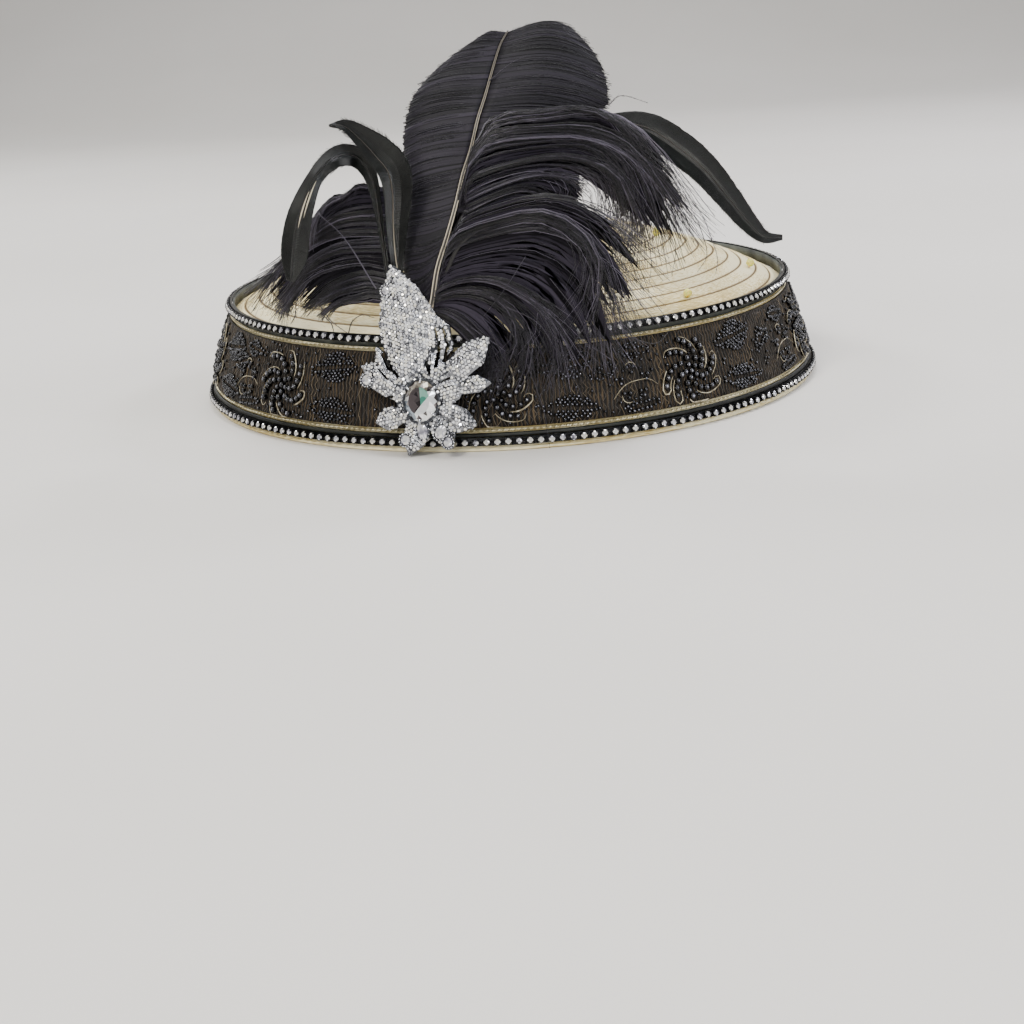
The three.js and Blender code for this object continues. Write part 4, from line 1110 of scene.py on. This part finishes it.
PLUMES = {
    "plume_tall": {
        "stem": 3, "thickness": 1.05, "pale": 1.0, "seed": 21, "matte": True, "steps": 10,
        "quill": [(-34, -142, 64), (-30, -139, 81), (-25, -135.5, 94), (-20, -131, 108), (-16, -126, 121),
                  (-12, -121, 131), (-8, -115, 144), (-4, -109, 154), (0, -102, 165), (4, -95, 175),
                  (8, -90, 181)],
        "sweeps": [{**FLAT_VANE, "guides": TALL_LEFT}, {**FLAT_VANE, "guides": TALL_RIGHT}],
    },
    "plume_right": {
        "stem": 0, "thickness": 1.0, "pale": 0.05, "seed": 22, "steps": 13,
        "quill": [(-33, -138, 65), (-28, -135.6, 80), (-24, -131.6, 93), (-16, -129.4, 104.4),
                  (-8, -129.6, 113.6), (3, -130, 121), (19, -128, 124), (37, -124, 123), (53, -119, 118),
                  (65, -113, 111)],
        "sweeps": [dark_vane(RIGHT_UPPER, flues=620, sheet=200, cover=0.8, strands=30, locks=15, gather=0.6,
                             drift=0.02, loose=0.015, hook=-0.6, fluff=2.4),
                   dark_vane(RIGHT_LOWER, flues=220, sheet=90, cover=0.95, strands=9, locks=6, gather=0.5,
                             drift=0.03, loose=0.03, hook=-0.6, fluff=2.4, depth=1.4)],
    },
    "plume_lower": {
        "stem": 6.2, "thickness": 1.0, "pale": 0.05, "seed": 23, "steps": 13,
        "quill": [(-31, -142.5, 64), (-26, -145, 79), (-20, -148, 91), (-12, -151, 98), (2, -155, 104),
                  (20, -158, 107), (37, -159, 103), (49, -159, 94), (59, -158, 81)],
        "sweeps": [dark_vane(LOWER, flues=800, sheet=240, cover=0.78, strands=26, locks=15, gather=0.5,
                             drift=0.045, loose=0.025, hook=-0.8, fluff=2.6)],
    },
    "plume_left": {
        "stem": -6, "thickness": 1.0, "pale": 0.05, "seed": 24, "steps": 12,
        "quill": [(-46, -134, 66), (-48, -127, 80), (-49, -124, 93), (-50, -122, 107), (-52, -121, 117)],
        "sweeps": [dark_vane(LEFT, flues=760, sheet=260, cover=0.8, strands=26, locks=11, gather=0.9,
                             drift=0.03, loose=0.02, hook=0.5, fluff=2.6)],
    },
}


def flue_knots(quill, guides, places):
    """The points of flues between the guides, from their roots on the quill, as (flues, points, 3)."""
    table = catmull([[at, *np.ravel(points)] for at, *points in guides], places)
    roots = catmull(quill, np.clip(table[:, 0], 0, 1) * (len(quill) - 1))
    return np.concatenate([roots[:, None] - FACING * 0.7, table[:, 1:].reshape(len(places), -1, 3)], 1)


def flue_lines(knots, ends, steps):
    """Smooth lines through each flue's points, out to its own end, as (flues, steps, 3)."""
    t = np.linspace(0, 1, steps)[None] * np.asarray(ends)[:, None] * (knots.shape[1] - 1)
    index = np.minimum(t.astype(int), knots.shape[1] - 2)
    padded = np.concatenate([2 * knots[:, :1] - knots[:, 1:2], knots, 2 * knots[:, -1:] - knots[:, -2:-1]], 1)
    near = (np.take_along_axis(padded, (index + k)[..., None], 1) for k in range(4))
    return spline(*near, (t - index)[..., None])


def curled(lines, amount):
    """Tips that turn away from the viewer and down, as an ostrich vane's edge does."""
    t = np.linspace(0, 1, lines.shape[1])[None, :, None]
    bend = np.clip(t - 0.72, 0, 1) / 0.28
    return lines + bend ** 2 * (-FACING * amount + np.array([0, 0, -0.35]) * amount)


def hooked(lines, angles):
    """Ends that turn about the viewing direction, more and more towards the tip."""
    t = np.clip((np.linspace(0, 1, lines.shape[1])[1:] - 0.6) / 0.4, 0, 1) ** 1.6
    turn = (np.asarray(angles).reshape(-1, 1) * t)[..., None]
    legs = np.diff(lines, axis=1)
    legs = (legs * np.cos(turn) + np.cross(FACING, legs) * np.sin(turn)
            + FACING * (legs @ FACING)[..., None] * (1 - np.cos(turn)))
    return np.concatenate([lines[:, :1], lines[:, :1] + np.cumsum(legs, axis=1)], 1)


def streaks(rng, count, low, high):
    """Tones of flues side by side: runs of five to eleven share one tone, and a dark gap of painted shade
    follows each.
    """
    tones = []
    while len(tones) < count:
        tones += [rng.uniform(low, high)] * rng.integers(5, 12) + [0.03] * rng.integers(1, 3)
    tones = np.array(tones[:count])
    return np.clip(tones + 0.07 * spread(rng, count) * (tones > 0.1), 0, 1)


def vane_sheet(form, quill, sweep, rng, steps=11):
    """A thin sheet of flues that lie side by side, ridged in streaks, each with its own length. In a dark
    plume it takes the deep finish, darkened as painted shade.
    """
    count, guides, flat = sweep["sheet"], sweep["guides"], "locks" not in sweep
    knots = flue_knots(quill, guides, np.linspace(0, len(guides) - 1, count))
    tone = streaks(rng, count, 0.25, 0.55) if flat else streaks(rng, count, 0.3, 0.9)
    ends = sweep["cover"] + (0.012 if flat else 0.1) * spread(rng, count)
    lines = curled(flue_lines(knots, np.clip(ends, 0.3, 1.0), steps), sweep.get("curl", 0))
    ridge = (tone[:, None, None] * 0.5 + 0.12 * (np.arange(count) % 2)[:, None, None]
             + rng.uniform(0, 0.1, (count, 1, 1)))
    front = clear_of_hat(lines + FACING * (ridge + 0.05), 0.7)
    back = clear_of_hat(lines - FACING * 0.3, 0.5)
    rings = np.concatenate([front, back[:, ::-1]], 1)
    first = np.arange(2 * steps)
    faces = [ring_faces(count, 2 * steps)[:, ::-1], np.array([first, (count - 1) * 2 * steps + first[::-1]])]
    tones = np.repeat(tone, 2 * steps)[None]
    # In a dark plume the sheet takes the deep finish: painted shade under the loose flues
    form.add(rings.reshape(1, -1, 3), faces, tones, finish=0 if flat else 2)


def barbules(lines, per_flue, length, width, rng):
    """Fine closed spikes on both sides of each flue that point to its tip, with their flues' numbers."""
    count, steps = lines.shape[:2]
    number = count * per_flue
    flue = rng.integers(0, count, number)
    t = rng.uniform(0.05, 0.99, number) * (steps - 1)
    index = np.minimum(t.astype(int), steps - 2)
    start, end = lines[flue, index], lines[flue, index + 1]
    root, along = start + (end - start) * (t - index)[:, None], unit(end - start)
    side = unit(np.cross(along, FACING)) * rng.choice([-1.0, 1.0], (number, 1))
    lift = FACING * 0.4 * spread(rng, (number, 1))
    lean = rng.uniform(0.2, 0.7, (number, 1))
    way = unit(along * np.cos(lean) + (side + lift) * np.sin(lean))
    long = length * rng.uniform(0.5, 1.2, (number, 1)) * (1.1 - 0.6 * (t / (steps - 1))[:, None])
    across = unit(np.cross(way, FACING)) * width
    through = unit(np.cross(across, way)) * width * 0.6
    points = np.stack([root - across, root + across, root + through, root + way * long], 1)
    return clear_of_hat(points, 0.9), [np.array([[0, 2, 1], [0, 1, 3], [1, 2, 3], [2, 0, 3]])], flue


def strand_places(places, sweep, rng):
    """Draws flues together in strands, every second one lighter as painted sheen: their new places and tones.
    """
    strands = sweep["strands"]
    middles = np.sort(np.linspace(-0.1, len(sweep["guides"]) - 0.9, strands) + 0.1 * spread(rng, strands))
    strand = np.abs(places[:, None] - middles[None]).argmin(1)
    # Every second strand is lighter: painted sheen
    tones = rng.uniform(0.08, 0.42, strands) + 0.42 * (np.arange(strands) % 2)
    return middles[strand] + (places - middles[strand]) * 0.66, tones[strand]


def drawn_to_locks(knots, quill, sweep, places, reach, rng):
    """Draws flues to their lock, which drifts and stands out as one: their new points and end hooks."""
    count, locks = len(knots), sweep["locks"]
    grow = np.linspace(0, 1, knots.shape[1])[None, :, None]
    middles = np.sort(rng.uniform(0, len(sweep["guides"]) - 1, locks))
    lock = np.abs(places[:, None] - middles[None]).argmin(1)
    pull = grow ** 1.5 * np.minimum(sweep["gather"] * rng.uniform(0.7, 1.15, (count, 1, 1)), 1)
    knots = knots + (flue_knots(quill, sweep["guides"], middles[lock]) - knots) * pull
    drift = spread(rng, (locks, 1, 3))[lock] * sweep["drift"]
    drift = drift + spread(rng, (count, 1, 3)) * sweep["loose"]
    deep = spread(rng, (locks, 1, 1))[lock] * sweep["depth"] + 0.8 * spread(rng, (count, 1, 1))
    knots = knots + drift * reach * grow ** 2 + FACING * deep * np.minimum(grow * 3, 1)
    hook = 0.6 + 0.6 * spread(rng, locks)[lock] + 0.4 * spread(rng, count)
    return knots, hook * sweep["hook"]


def flat_flues(knots, rng):
    """Flues that lie side by side, each a little in or out: their new points and end hooks."""
    grow = np.linspace(0, 1, knots.shape[1])[None, :, None]
    knots = knots + FACING * 0.5 * spread(rng, (len(knots), 1, 1)) * np.minimum(grow * 3, 1)
    return knots, 0.12 * spread(rng, len(knots))


def flue_sweep(form, quill, sweep, steps, rng):
    """Loose flues over the sheet. In a dark plume each lock has its own drift and hooked end."""
    guides, count, in_locks = sweep["guides"], sweep["flues"], "locks" in sweep
    places = np.sort(rng.uniform(-0.12, len(guides) - 0.88, count))
    if in_locks:
        places, tone = strand_places(places, sweep, rng)
    knots = flue_knots(quill, guides, places)
    reach = np.linalg.norm(knots[:, -1] - knots[:, 0], axis=1)[:, None, None]
    if in_locks:
        knots, hook = drawn_to_locks(knots, quill, sweep, places, reach, rng)
        tone = tone + 0.27 * spread(rng, count)
    else:
        knots, hook = flat_flues(knots, rng)
        tone = streaks(rng, count, 0.2, 0.6)
    lines = hooked(flue_lines(knots, np.clip(0.95 + 0.06 * spread(rng, count), 0.7, 1.0), steps), hook)
    t = np.linspace(0, 1, steps)[None, :, None]
    wave = np.sin(t * rng.uniform(4, 9, (count, 1, 1)) + rng.uniform(0, 6.28, (count, 1, 1)))
    lines = lines + unit(rng.normal(0, 1, (count, 1, 3))) * wave * t * 0.006 * reach
    lines = clear_of_hat(curled(lines, sweep.get("curl", 0)))
    wide = 0.26 * np.linspace(1, 0.35, steps)[None] * rng.uniform(0.6, 1.4, (count, 1))
    tone = np.clip(tone, 0, 1)
    shade = tone[:, None] * np.linspace(0.85, 1.05, steps)[None]
    form.add(*tubes(lines, wide, wide * 0.5), tone=np.repeat(shade, 3, axis=1))
    fuzz, faces, flue = barbules(lines, sweep["fuzz"], sweep["fluff"], 0.08, rng)
    form.add(fuzz, faces, tone=np.clip(tone[flue] * rng.uniform(0.5, 1.1, len(flue)), 0, 1))


# Long single flues that stray from their plume: points that each passes
STRAYS = {
    "plume_tall": [
        [(-44, -124, 121), (-48, -123, 123), (-52, -124, 122)],
        [(52, -104, 146), (58, -106, 150), (70, -104, 146)],
        [(-2, -106, 160), (8, -104, 167), (16, -103, 170)],
        [(-43, -122, 112), (-47, -122, 111), (-49, -123, 108)],
    ],
    "plume_right": [
        [(60, -119, 118), (72, -113, 104), (80, -109, 82), (78, -109, 66)],
        [(50, -125, 112), (62, -119, 98), (68, -116, 78), (66, -117, 60)],
        [(92, -100, 90), (96, -97, 74), (91, -100, 66)],
        [(96, -97, 88), (101, -95, 72), (100, -96, 64)],
        [(30, -130, 118), (40, -128, 108), (44, -128, 98)],
        [(34, -130, 119), (38, -129, 104), (37, -129, 96)],
    ],
    "plume_lower": [
        [(10, -161, 88), (0, -160, 74), (-10, -157, 62)],
        [(36, -162, 58), (26, -163, 44), (14, -163, 26)],
        [(-8, -154, 56), (-3, -158, 42), (-6, -162, 28), (-12, -164, 20)],
        [(8, -162, 40), (14, -166, 20), (16, -166, 2)],
        [(40, -162, 76), (52, -160, 58), (58, -158, 34)],
        [(48, -161, 88), (64, -156, 66), (72, -150, 54)],
        [(20, -162, 78), (32, -163, 60), (38, -162, 40)],
        [(52, -160, 50), (66, -152, 44), (74, -148, 50)],
        [(0, -159, 66), (14, -162, 58), (22, -162, 44)],
    ],
    "plume_left": [
        [(-58, -141, 74), (-71, -132, 96), (-83, -127, 108)],
        [(-89, -112, 66), (-82, -120, 57), (-74, -124, 51)],
        [(-85, -116, 58), (-82, -118, 55), (-81, -120, 51)],
        [(-100, -100, 60), (-101, -102, 56), (-103, -103, 53)],
        [(-74, -122, 51), (-72, -121, 56), (-67, -122, 59), (-61, -126, 58)],
    ],
}


def quill_lines(form, quill, radius, pale, steps=64, bare=4):
    """The quill: dark along its middle, with edges that are pale where the dye has missed them."""
    at = np.linspace(0, 1, steps)
    spine = catmull(quill, at * (len(quill) - 1))
    thick = radius * (1 - 0.7 * at)
    form.add(*tubes([spine], thick, sides=8), tone=0.2 * pale, finish=1)
    across = unit(np.cross(unit(np.gradient(spine, axis=0)), FACING))
    shade = np.repeat(pale * np.linspace(1.0, 0.5, steps - bare), 5)[None]
    for side in (-1, 1):
        edge = spine + across * side * thick[:, None] * 0.72 + FACING * thick[:, None] * 0.62
        form.add(*tubes([edge[bare:]], thick[bare:] * 0.34, sides=5), tone=shade, finish=1)


def stray(form, points, wide, rng, steps=16):
    """One long flue away from its plume, with its own fine barbs."""
    line = clear_of_hat(smooth_line(points, steps))[None]
    form.add(*tubes(line, wide * np.linspace(1, 0.4, steps)[None]), tone=rng.uniform(0.4, 0.95))
    fuzz, faces, _ = barbules(line, 40, 2.0, 0.07, rng)
    form.add(fuzz, faces, tone=rng.beta(1.2, 3.0, len(fuzz)))


def plume(node, plan):
    """An ostrich plume: sweeps of flues on both sides of its quill, and a few strays."""
    rng = np.random.default_rng(plan["seed"])
    quill = stem_points(plan["stem"], plan["quill"])
    form = Form()
    for sweep in plan["sweeps"]:
        vane_sheet(form, quill, sweep, rng)
        flue_sweep(form, quill, sweep, plan["steps"], rng)
    for points in STRAYS[node]:
        stray(form, points, 0.34 if node == "plume_left" else 0.22, rng)
    quill_lines(form, quill, STEM_RADIUS * plan["thickness"], plan["pale"])
    flues = OSTRICH_MATTE if "matte" in plan else OSTRICH
    return form.piece(node + "_flues", [flues, QUILL, OSTRICH_DEEP], "ostrich", [node])


# Coque feathers: place of the stem, the quill's paleness and how far it runs from the blade's middle,
# then x, y, z and half the blade's width, as the solids have them
COQUES = {
    "coque_left_upper": (-9, 0.95, -0.5, [
        (-48, -137, 68, 1.1), (-48, -134, 76, 1.8), (-48, -132, 88, 3.6), (-47, -133, 101, 5.2),
        (-45.4, -134, 115, 6.7), (-46.2, -136, 126, 7.6), (-51.5, -138, 134, 7.2), (-58, -141, 141, 5.2),
        (-65, -145, 147, 3), (-72, -149, 148, 0.6)]),
    "coque_left_loop": (-12, 0.1, 0.1, [
        (-52, -135.5, 68, 1.1), (-53, -132, 78, 1.1), (-54, -130, 92, 1.3), (-55, -130, 106, 1.8),
        (-56, -131, 117, 2.6), (-58, -133, 126, 3.6), (-62, -136, 132, 4.6), (-67, -140, 134, 5.2),
        (-73, -145, 132.5, 4.6), (-80, -149, 126, 3.8), (-86, -150, 115, 5.2), (-90, -149, 104, 6.2),
        (-93, -146, 91, 6), (-96, -142, 80, 2)]),
    "coque_right": (-3, 0.5, 0.0, [
        (-34, -136, 67, 1.1), (-28, -130, 83, 1), (-21, -124, 98, 1), (-9, -115, 115, 1),
        (10, -105, 128, 1.2), (32, -93, 135, 2), (57, -86, 136, 5), (72, -82, 132, 7.4),
        (86, -80, 122, 8.2), (98, -79, 111, 7.6), (109, -78, 97, 6.4), (118, -77, 85, 5),
        (126, -76, 77, 3.2), (135, -75, 76, 1.4)]),
}


# Pale creases along a blade, painted highlights: from and to as shares of its length, and the place across it
HIGHLIGHT_CREASES = {"coque_left_loop": [(0.74, 0.84, -0.3), (0.77, 0.87, -0.05)]}
BLADE_STEPS, BLADE_SIDES, BARBS = 170, 14, 420


def blade(spine, half, feathered, length, rng):
    """The blade's body, cambered and a little ragged, with the slanted places of its barbs."""
    ragged = 1 + np.where(feathered, rng.normal(0, 0.012, BLADE_STEPS), 0) - 0.03 * feathered
    deep = np.where(half <= STEM_RADIUS, half, 0.3)
    points, faces = tubes([spine], half * ragged, deep, BLADE_SIDES, start=0, camber=0.13)
    across = np.cos(full_turn(BLADE_SIDES))
    away = np.abs(across)[None] * half[:, None]
    return points, faces, pattern_places(length[:, None] - 1.1 * away, away * 0.25, np.sign(across) * 3)


def frayed_barbs(spine, half, feathered, length, along, side, rng):
    """Barbs that stand out past both edges of the blade, with their places in its pattern."""
    at = rng.uniform(np.flatnonzero(feathered)[0], BLADE_STEPS * 0.93, BARBS)
    index = at.astype(int)
    hand = rng.choice([-1.0, 1.0], BARBS)[:, None]
    root = spine[index] + side[index] * hand * (half[index] * 0.55)[:, None]
    over = rng.uniform(-0.2, 0.5, (BARBS, 1)) ** 2 * 2 + (half[index] * 0.42)[:, None]
    knee = root + (side[index] * hand + along[index] * 1.1) * over * 0.5 + FACING * 0.35
    tip = root + (side[index] * hand + along[index] * 1.5) * over
    tip += FACING * rng.uniform(-0.3, 0.5, (BARBS, 1))
    lay = np.stack([length[index], half[index] * 0.2, hand[:, 0] * 3], -1)[:, None]
    return *tubes(np.stack([root, knee, tip], 1), [0.2, 0.17, 0.05]), lay


def coque(node, stem, pale, offset, rows):
    """A thin cambered blade on its quill, with fine barbs that fray along both edges and the tip."""
    rng = np.random.default_rng(stem + 50)
    feet = [[*on_brooch(stem, height, STEM_DEPTH), STEM_RADIUS] for height in (STEM_FOOT, STEM_CROSSING)]
    line = smooth_line([*feet, *rows], BLADE_STEPS)
    spine, half = line[:, :3], np.maximum(line[:, 3], 0.25)
    feathered, length = half > STEM_RADIUS * 1.25, lengths_along(spine)
    along = unit(np.gradient(spine, axis=0))
    side = unit(np.cross(along, FACING))
    form = Form()
    points, faces, lay = blade(spine, half, feathered, length, rng)
    form.add(points, faces, lay=lay)
    points, faces, lay = frayed_barbs(spine, half, feathered, length, along, side, rng)
    form.add(points, faces, lay=lay)
    thin = np.maximum(0.6 * (1 - 0.8 * np.linspace(0, 1, BLADE_STEPS)), 0.15)
    aside = np.where(half > 2, offset * (half - 2), 0)[:, None]
    ridge = spine + side * aside + FACING * (0.35 + 0.05 * thin[:, None] + 0.1 * np.abs(aside))
    shade = pale * np.linspace(1, 0.1, BLADE_STEPS * 5)[None]
    form.add(*tubes([ridge], thin * 0.7, thin * 0.6, 5), tone=shade, finish=1)
    for low, high, place in HIGHLIGHT_CREASES.get(node, ()):
        span = slice(int(low * BLADE_STEPS), int(high * BLADE_STEPS))
        crease = (spine + side * (place * half)[:, None] + FACING * 0.4)[span]
        wide = 0.34 * np.sin(np.linspace(0.2, 3.0, len(crease)))
        # The pale tone of these ridges is a painted highlight
        form.add(*tubes([crease], wide, sides=5), tone=0.85, finish=1)
    return form.piece(node + "_blade", [COQUE, QUILL], "coque", [node])


# The pin heads

PIN_HEAD_RADIUS, PIN_HEAD_SIDES, PIN_HEAD_RINGS = 2.1, 18, 11


def pin_head(number):
    """A round head, a little lumpy from its mould, in the middle of its plain solid."""
    low, high = (np.array(corner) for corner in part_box(f"pin_head_{number}"))
    rng = np.random.default_rng(number)
    centre = ((low + high) / 2 - AXIS) / MM
    turn, rise = np.meshgrid(full_turn(PIN_HEAD_SIDES), np.linspace(-1.45, 1.45, PIN_HEAD_RINGS))
    lumps = 1 + 0.07 * np.sin(3 * turn + number) * np.cos(2 * rise) + rng.normal(0, 0.015, turn.shape)
    ways = np.stack([np.cos(turn) * np.cos(rise), np.sin(turn) * np.cos(rise), np.sin(rise)], -1)
    points = centre + ways * PIN_HEAD_RADIUS * lumps[..., None]
    foot = np.arange(PIN_HEAD_SIDES)
    ends = np.array([foot[::-1], (PIN_HEAD_RINGS - 1) * PIN_HEAD_SIDES + foot])
    tones = rng.uniform(0.3, 1, turn.size)[None]
    form = Form().add(points.reshape(1, -1, 3), [ring_faces(PIN_HEAD_RINGS, PIN_HEAD_SIDES), ends], tones)
    return form.piece(f"pin_head_{number}_bead", [PIN_HEAD], "pin_head", [f"pin_head_{number}"])


# Camera, floor and light

CAMERA_PLACE = (6.656, -946.302, 213.988)
CAMERA_TURN, CAMERA_PITCH, CAMERA_ROLL = math.radians(0.689), math.radians(-17.159), math.radians(-3.49)
CAMERA_LENS, SENSOR_WIDTH = 63.28, 36.0


def camera():
    """The photo's own camera, as fitted to it."""
    data = bpy.data.cameras.new("camera")
    data.lens, data.sensor_width, data.clip_start, data.clip_end = CAMERA_LENS, SENSOR_WIDTH, 0.05, 50.0
    made = bpy.data.objects.new("camera", data)
    bpy.context.scene.collection.objects.link(made)
    turn = (Matrix.Rotation(CAMERA_TURN, 4, "Z") @ Matrix.Rotation(math.pi / 2 + CAMERA_PITCH, 4, "X")
            @ Matrix.Rotation(CAMERA_ROLL, 4, "Z"))
    made.matrix_world = Matrix.Translation(row(CAMERA_PLACE)) @ turn
    bpy.context.scene.camera = made


# The sweep in metres: how wide, where it begins and ends, how it curves up and how high it goes
SWEEP_HALF_WIDTH, SWEEP_NEAR, SWEEP_BEND_FROM, SWEEP_BEND, SWEEP_TOP = 5, -4.0, 1.6, 1.2, 5.0
SWEEP_SINK = 0.2 * MM


def paper_finish():
    """Pale photographer's paper, faintly mottled in patches a third of a metre across."""
    material, tree, shader = new_finish("pale_paper_sweep", Roughness=0.85, Specular_IOR_Level=0.2)
    place = add_node(tree, "ShaderNodeTexCoord")
    mottle = add_node(tree, "ShaderNodeTexNoise", {"Vector": place.outputs["Object"]},
                      {"Scale": 3.0, "Detail": 4.0})
    colour = add_node(tree, "ShaderNodeValToRGB", {0: mottle.outputs[0]},
                      stops=[(0.3, "#dcd9d3"), (0.7, "#e2dfda")])
    tree.links.new(colour.outputs[0], shader.inputs["Base Color"])
    return material


def studio_floor():
    """A pale sweep: a floor that curves up into a wall behind, just under the hat's rim."""
    bend = [(SWEEP_BEND_FROM + SWEEP_BEND * math.sin(a), SWEEP_BEND - SWEEP_BEND * math.cos(a))
            for a in np.linspace(0.1, math.pi / 2, 12)]
    profile = [(SWEEP_NEAR, 0.0), (SWEEP_BEND_FROM, 0.0), *bend, (SWEEP_BEND_FROM + SWEEP_BEND, SWEEP_TOP)]
    points = [(x, y, z - SWEEP_SINK) for x in (-SWEEP_HALF_WIDTH, SWEEP_HALF_WIDTH) for y, z in profile]
    count = len(profile)
    faces = [(i, i + count, i + count + 1, i + 1) for i in range(count - 1)]
    mesh = bpy.data.meshes.new("studio_floor")
    mesh.from_pydata(points, [], faces)
    mesh.polygons.foreach_set("use_smooth", [True] * len(faces))
    mesh.materials.append(paper_finish())
    made = bpy.data.objects.new("studio_floor", mesh)
    bpy.context.scene.collection.objects.link(made)


# Columns: place in metres, size, power in watts and colour
LIGHTS = {
    "key_softbox": ((-0.9, -1.5, 1.7), 0.7, 38, "#fffaf2"),
    "fill_softbox": ((1.5, -1.2, 1.1), 0.7, 15, "#f4f7ff"),
    "top_softbox": ((0.1, 0.3, 1.9), 1.4, 34, "#ffffff"),
    "rim_light_left": ((-1.2, 1.0, 1.0), 0.5, 14, "#ffffff"),
    "rim_light_right": ((1.2, 0.9, 1.1), 0.5, 16, "#f6f4ff"),
    "sparkle_left": ((-0.5, -1.7, 0.5), 0.06, 3.0, "#ffffff"),
    "sparkle_right": ((0.7, -1.6, 0.9), 0.06, 3.0, "#ffffff"),
    "sparkle_high": ((-0.15, -1.3, 1.5), 0.06, 3.0, "#ffffff"),
    "sparkle_low": ((0.2, -1.8, 0.2), 0.06, 2.0, "#ffffff"),
    "sparkle_far_right": ((1.4, -0.9, 0.7), 0.06, 3.0, "#ffffff"),
}


def lights():
    """Softboxes round the hat, small bright lamps that make its stones sparkle, and a dim room."""
    aim = Vector(row((0, -60, 60)))
    for name, (place, size, power, colour) in LIGHTS.items():
        data = bpy.data.lights.new(name, "AREA")
        data.shape, data.size, data.energy, data.color = "DISK", size, power, lit(colour)[:3]
        made = bpy.data.objects.new(name, data)
        bpy.context.scene.collection.objects.link(made)
        made.location = place
        made.rotation_euler = (aim - Vector(place)).to_track_quat("-Z", "Y").to_euler()
    world = bpy.data.worlds.new("studio")
    world.use_nodes = True
    world.node_tree.nodes["Background"].inputs["Color"].default_value = lit("#d9dce2")
    world.node_tree.nodes["Background"].inputs["Strength"].default_value = 0.22
    bpy.context.scene.world = world


camera()
studio_floor()
lights()
straw_crown()
lace_work()
satin_strip()
upper_tape()
twisted_cord("lower_gold_cord_twist", "lower_gold_cord", LOWER_CORD_HEIGHT)
twisted_cord("upper_gold_cord_twist", "upper_gold_cord", UPPER_CORD_HEIGHT)
stone_trim("lower_stone_trim_stones", "lower_stone_trim", LOWER_STONES)
stone_trim("upper_stone_trim_stones", "upper_stone_trim", UPPER_STONES)
brooch_metal()
brooch_pave()
brooch_stones()
for node, plan in PLUMES.items():
    plume(node, plan)
for node, plan in COQUES.items():
    coque(node, *plan)
for number in (1, 2, 3):
    pin_head(number)
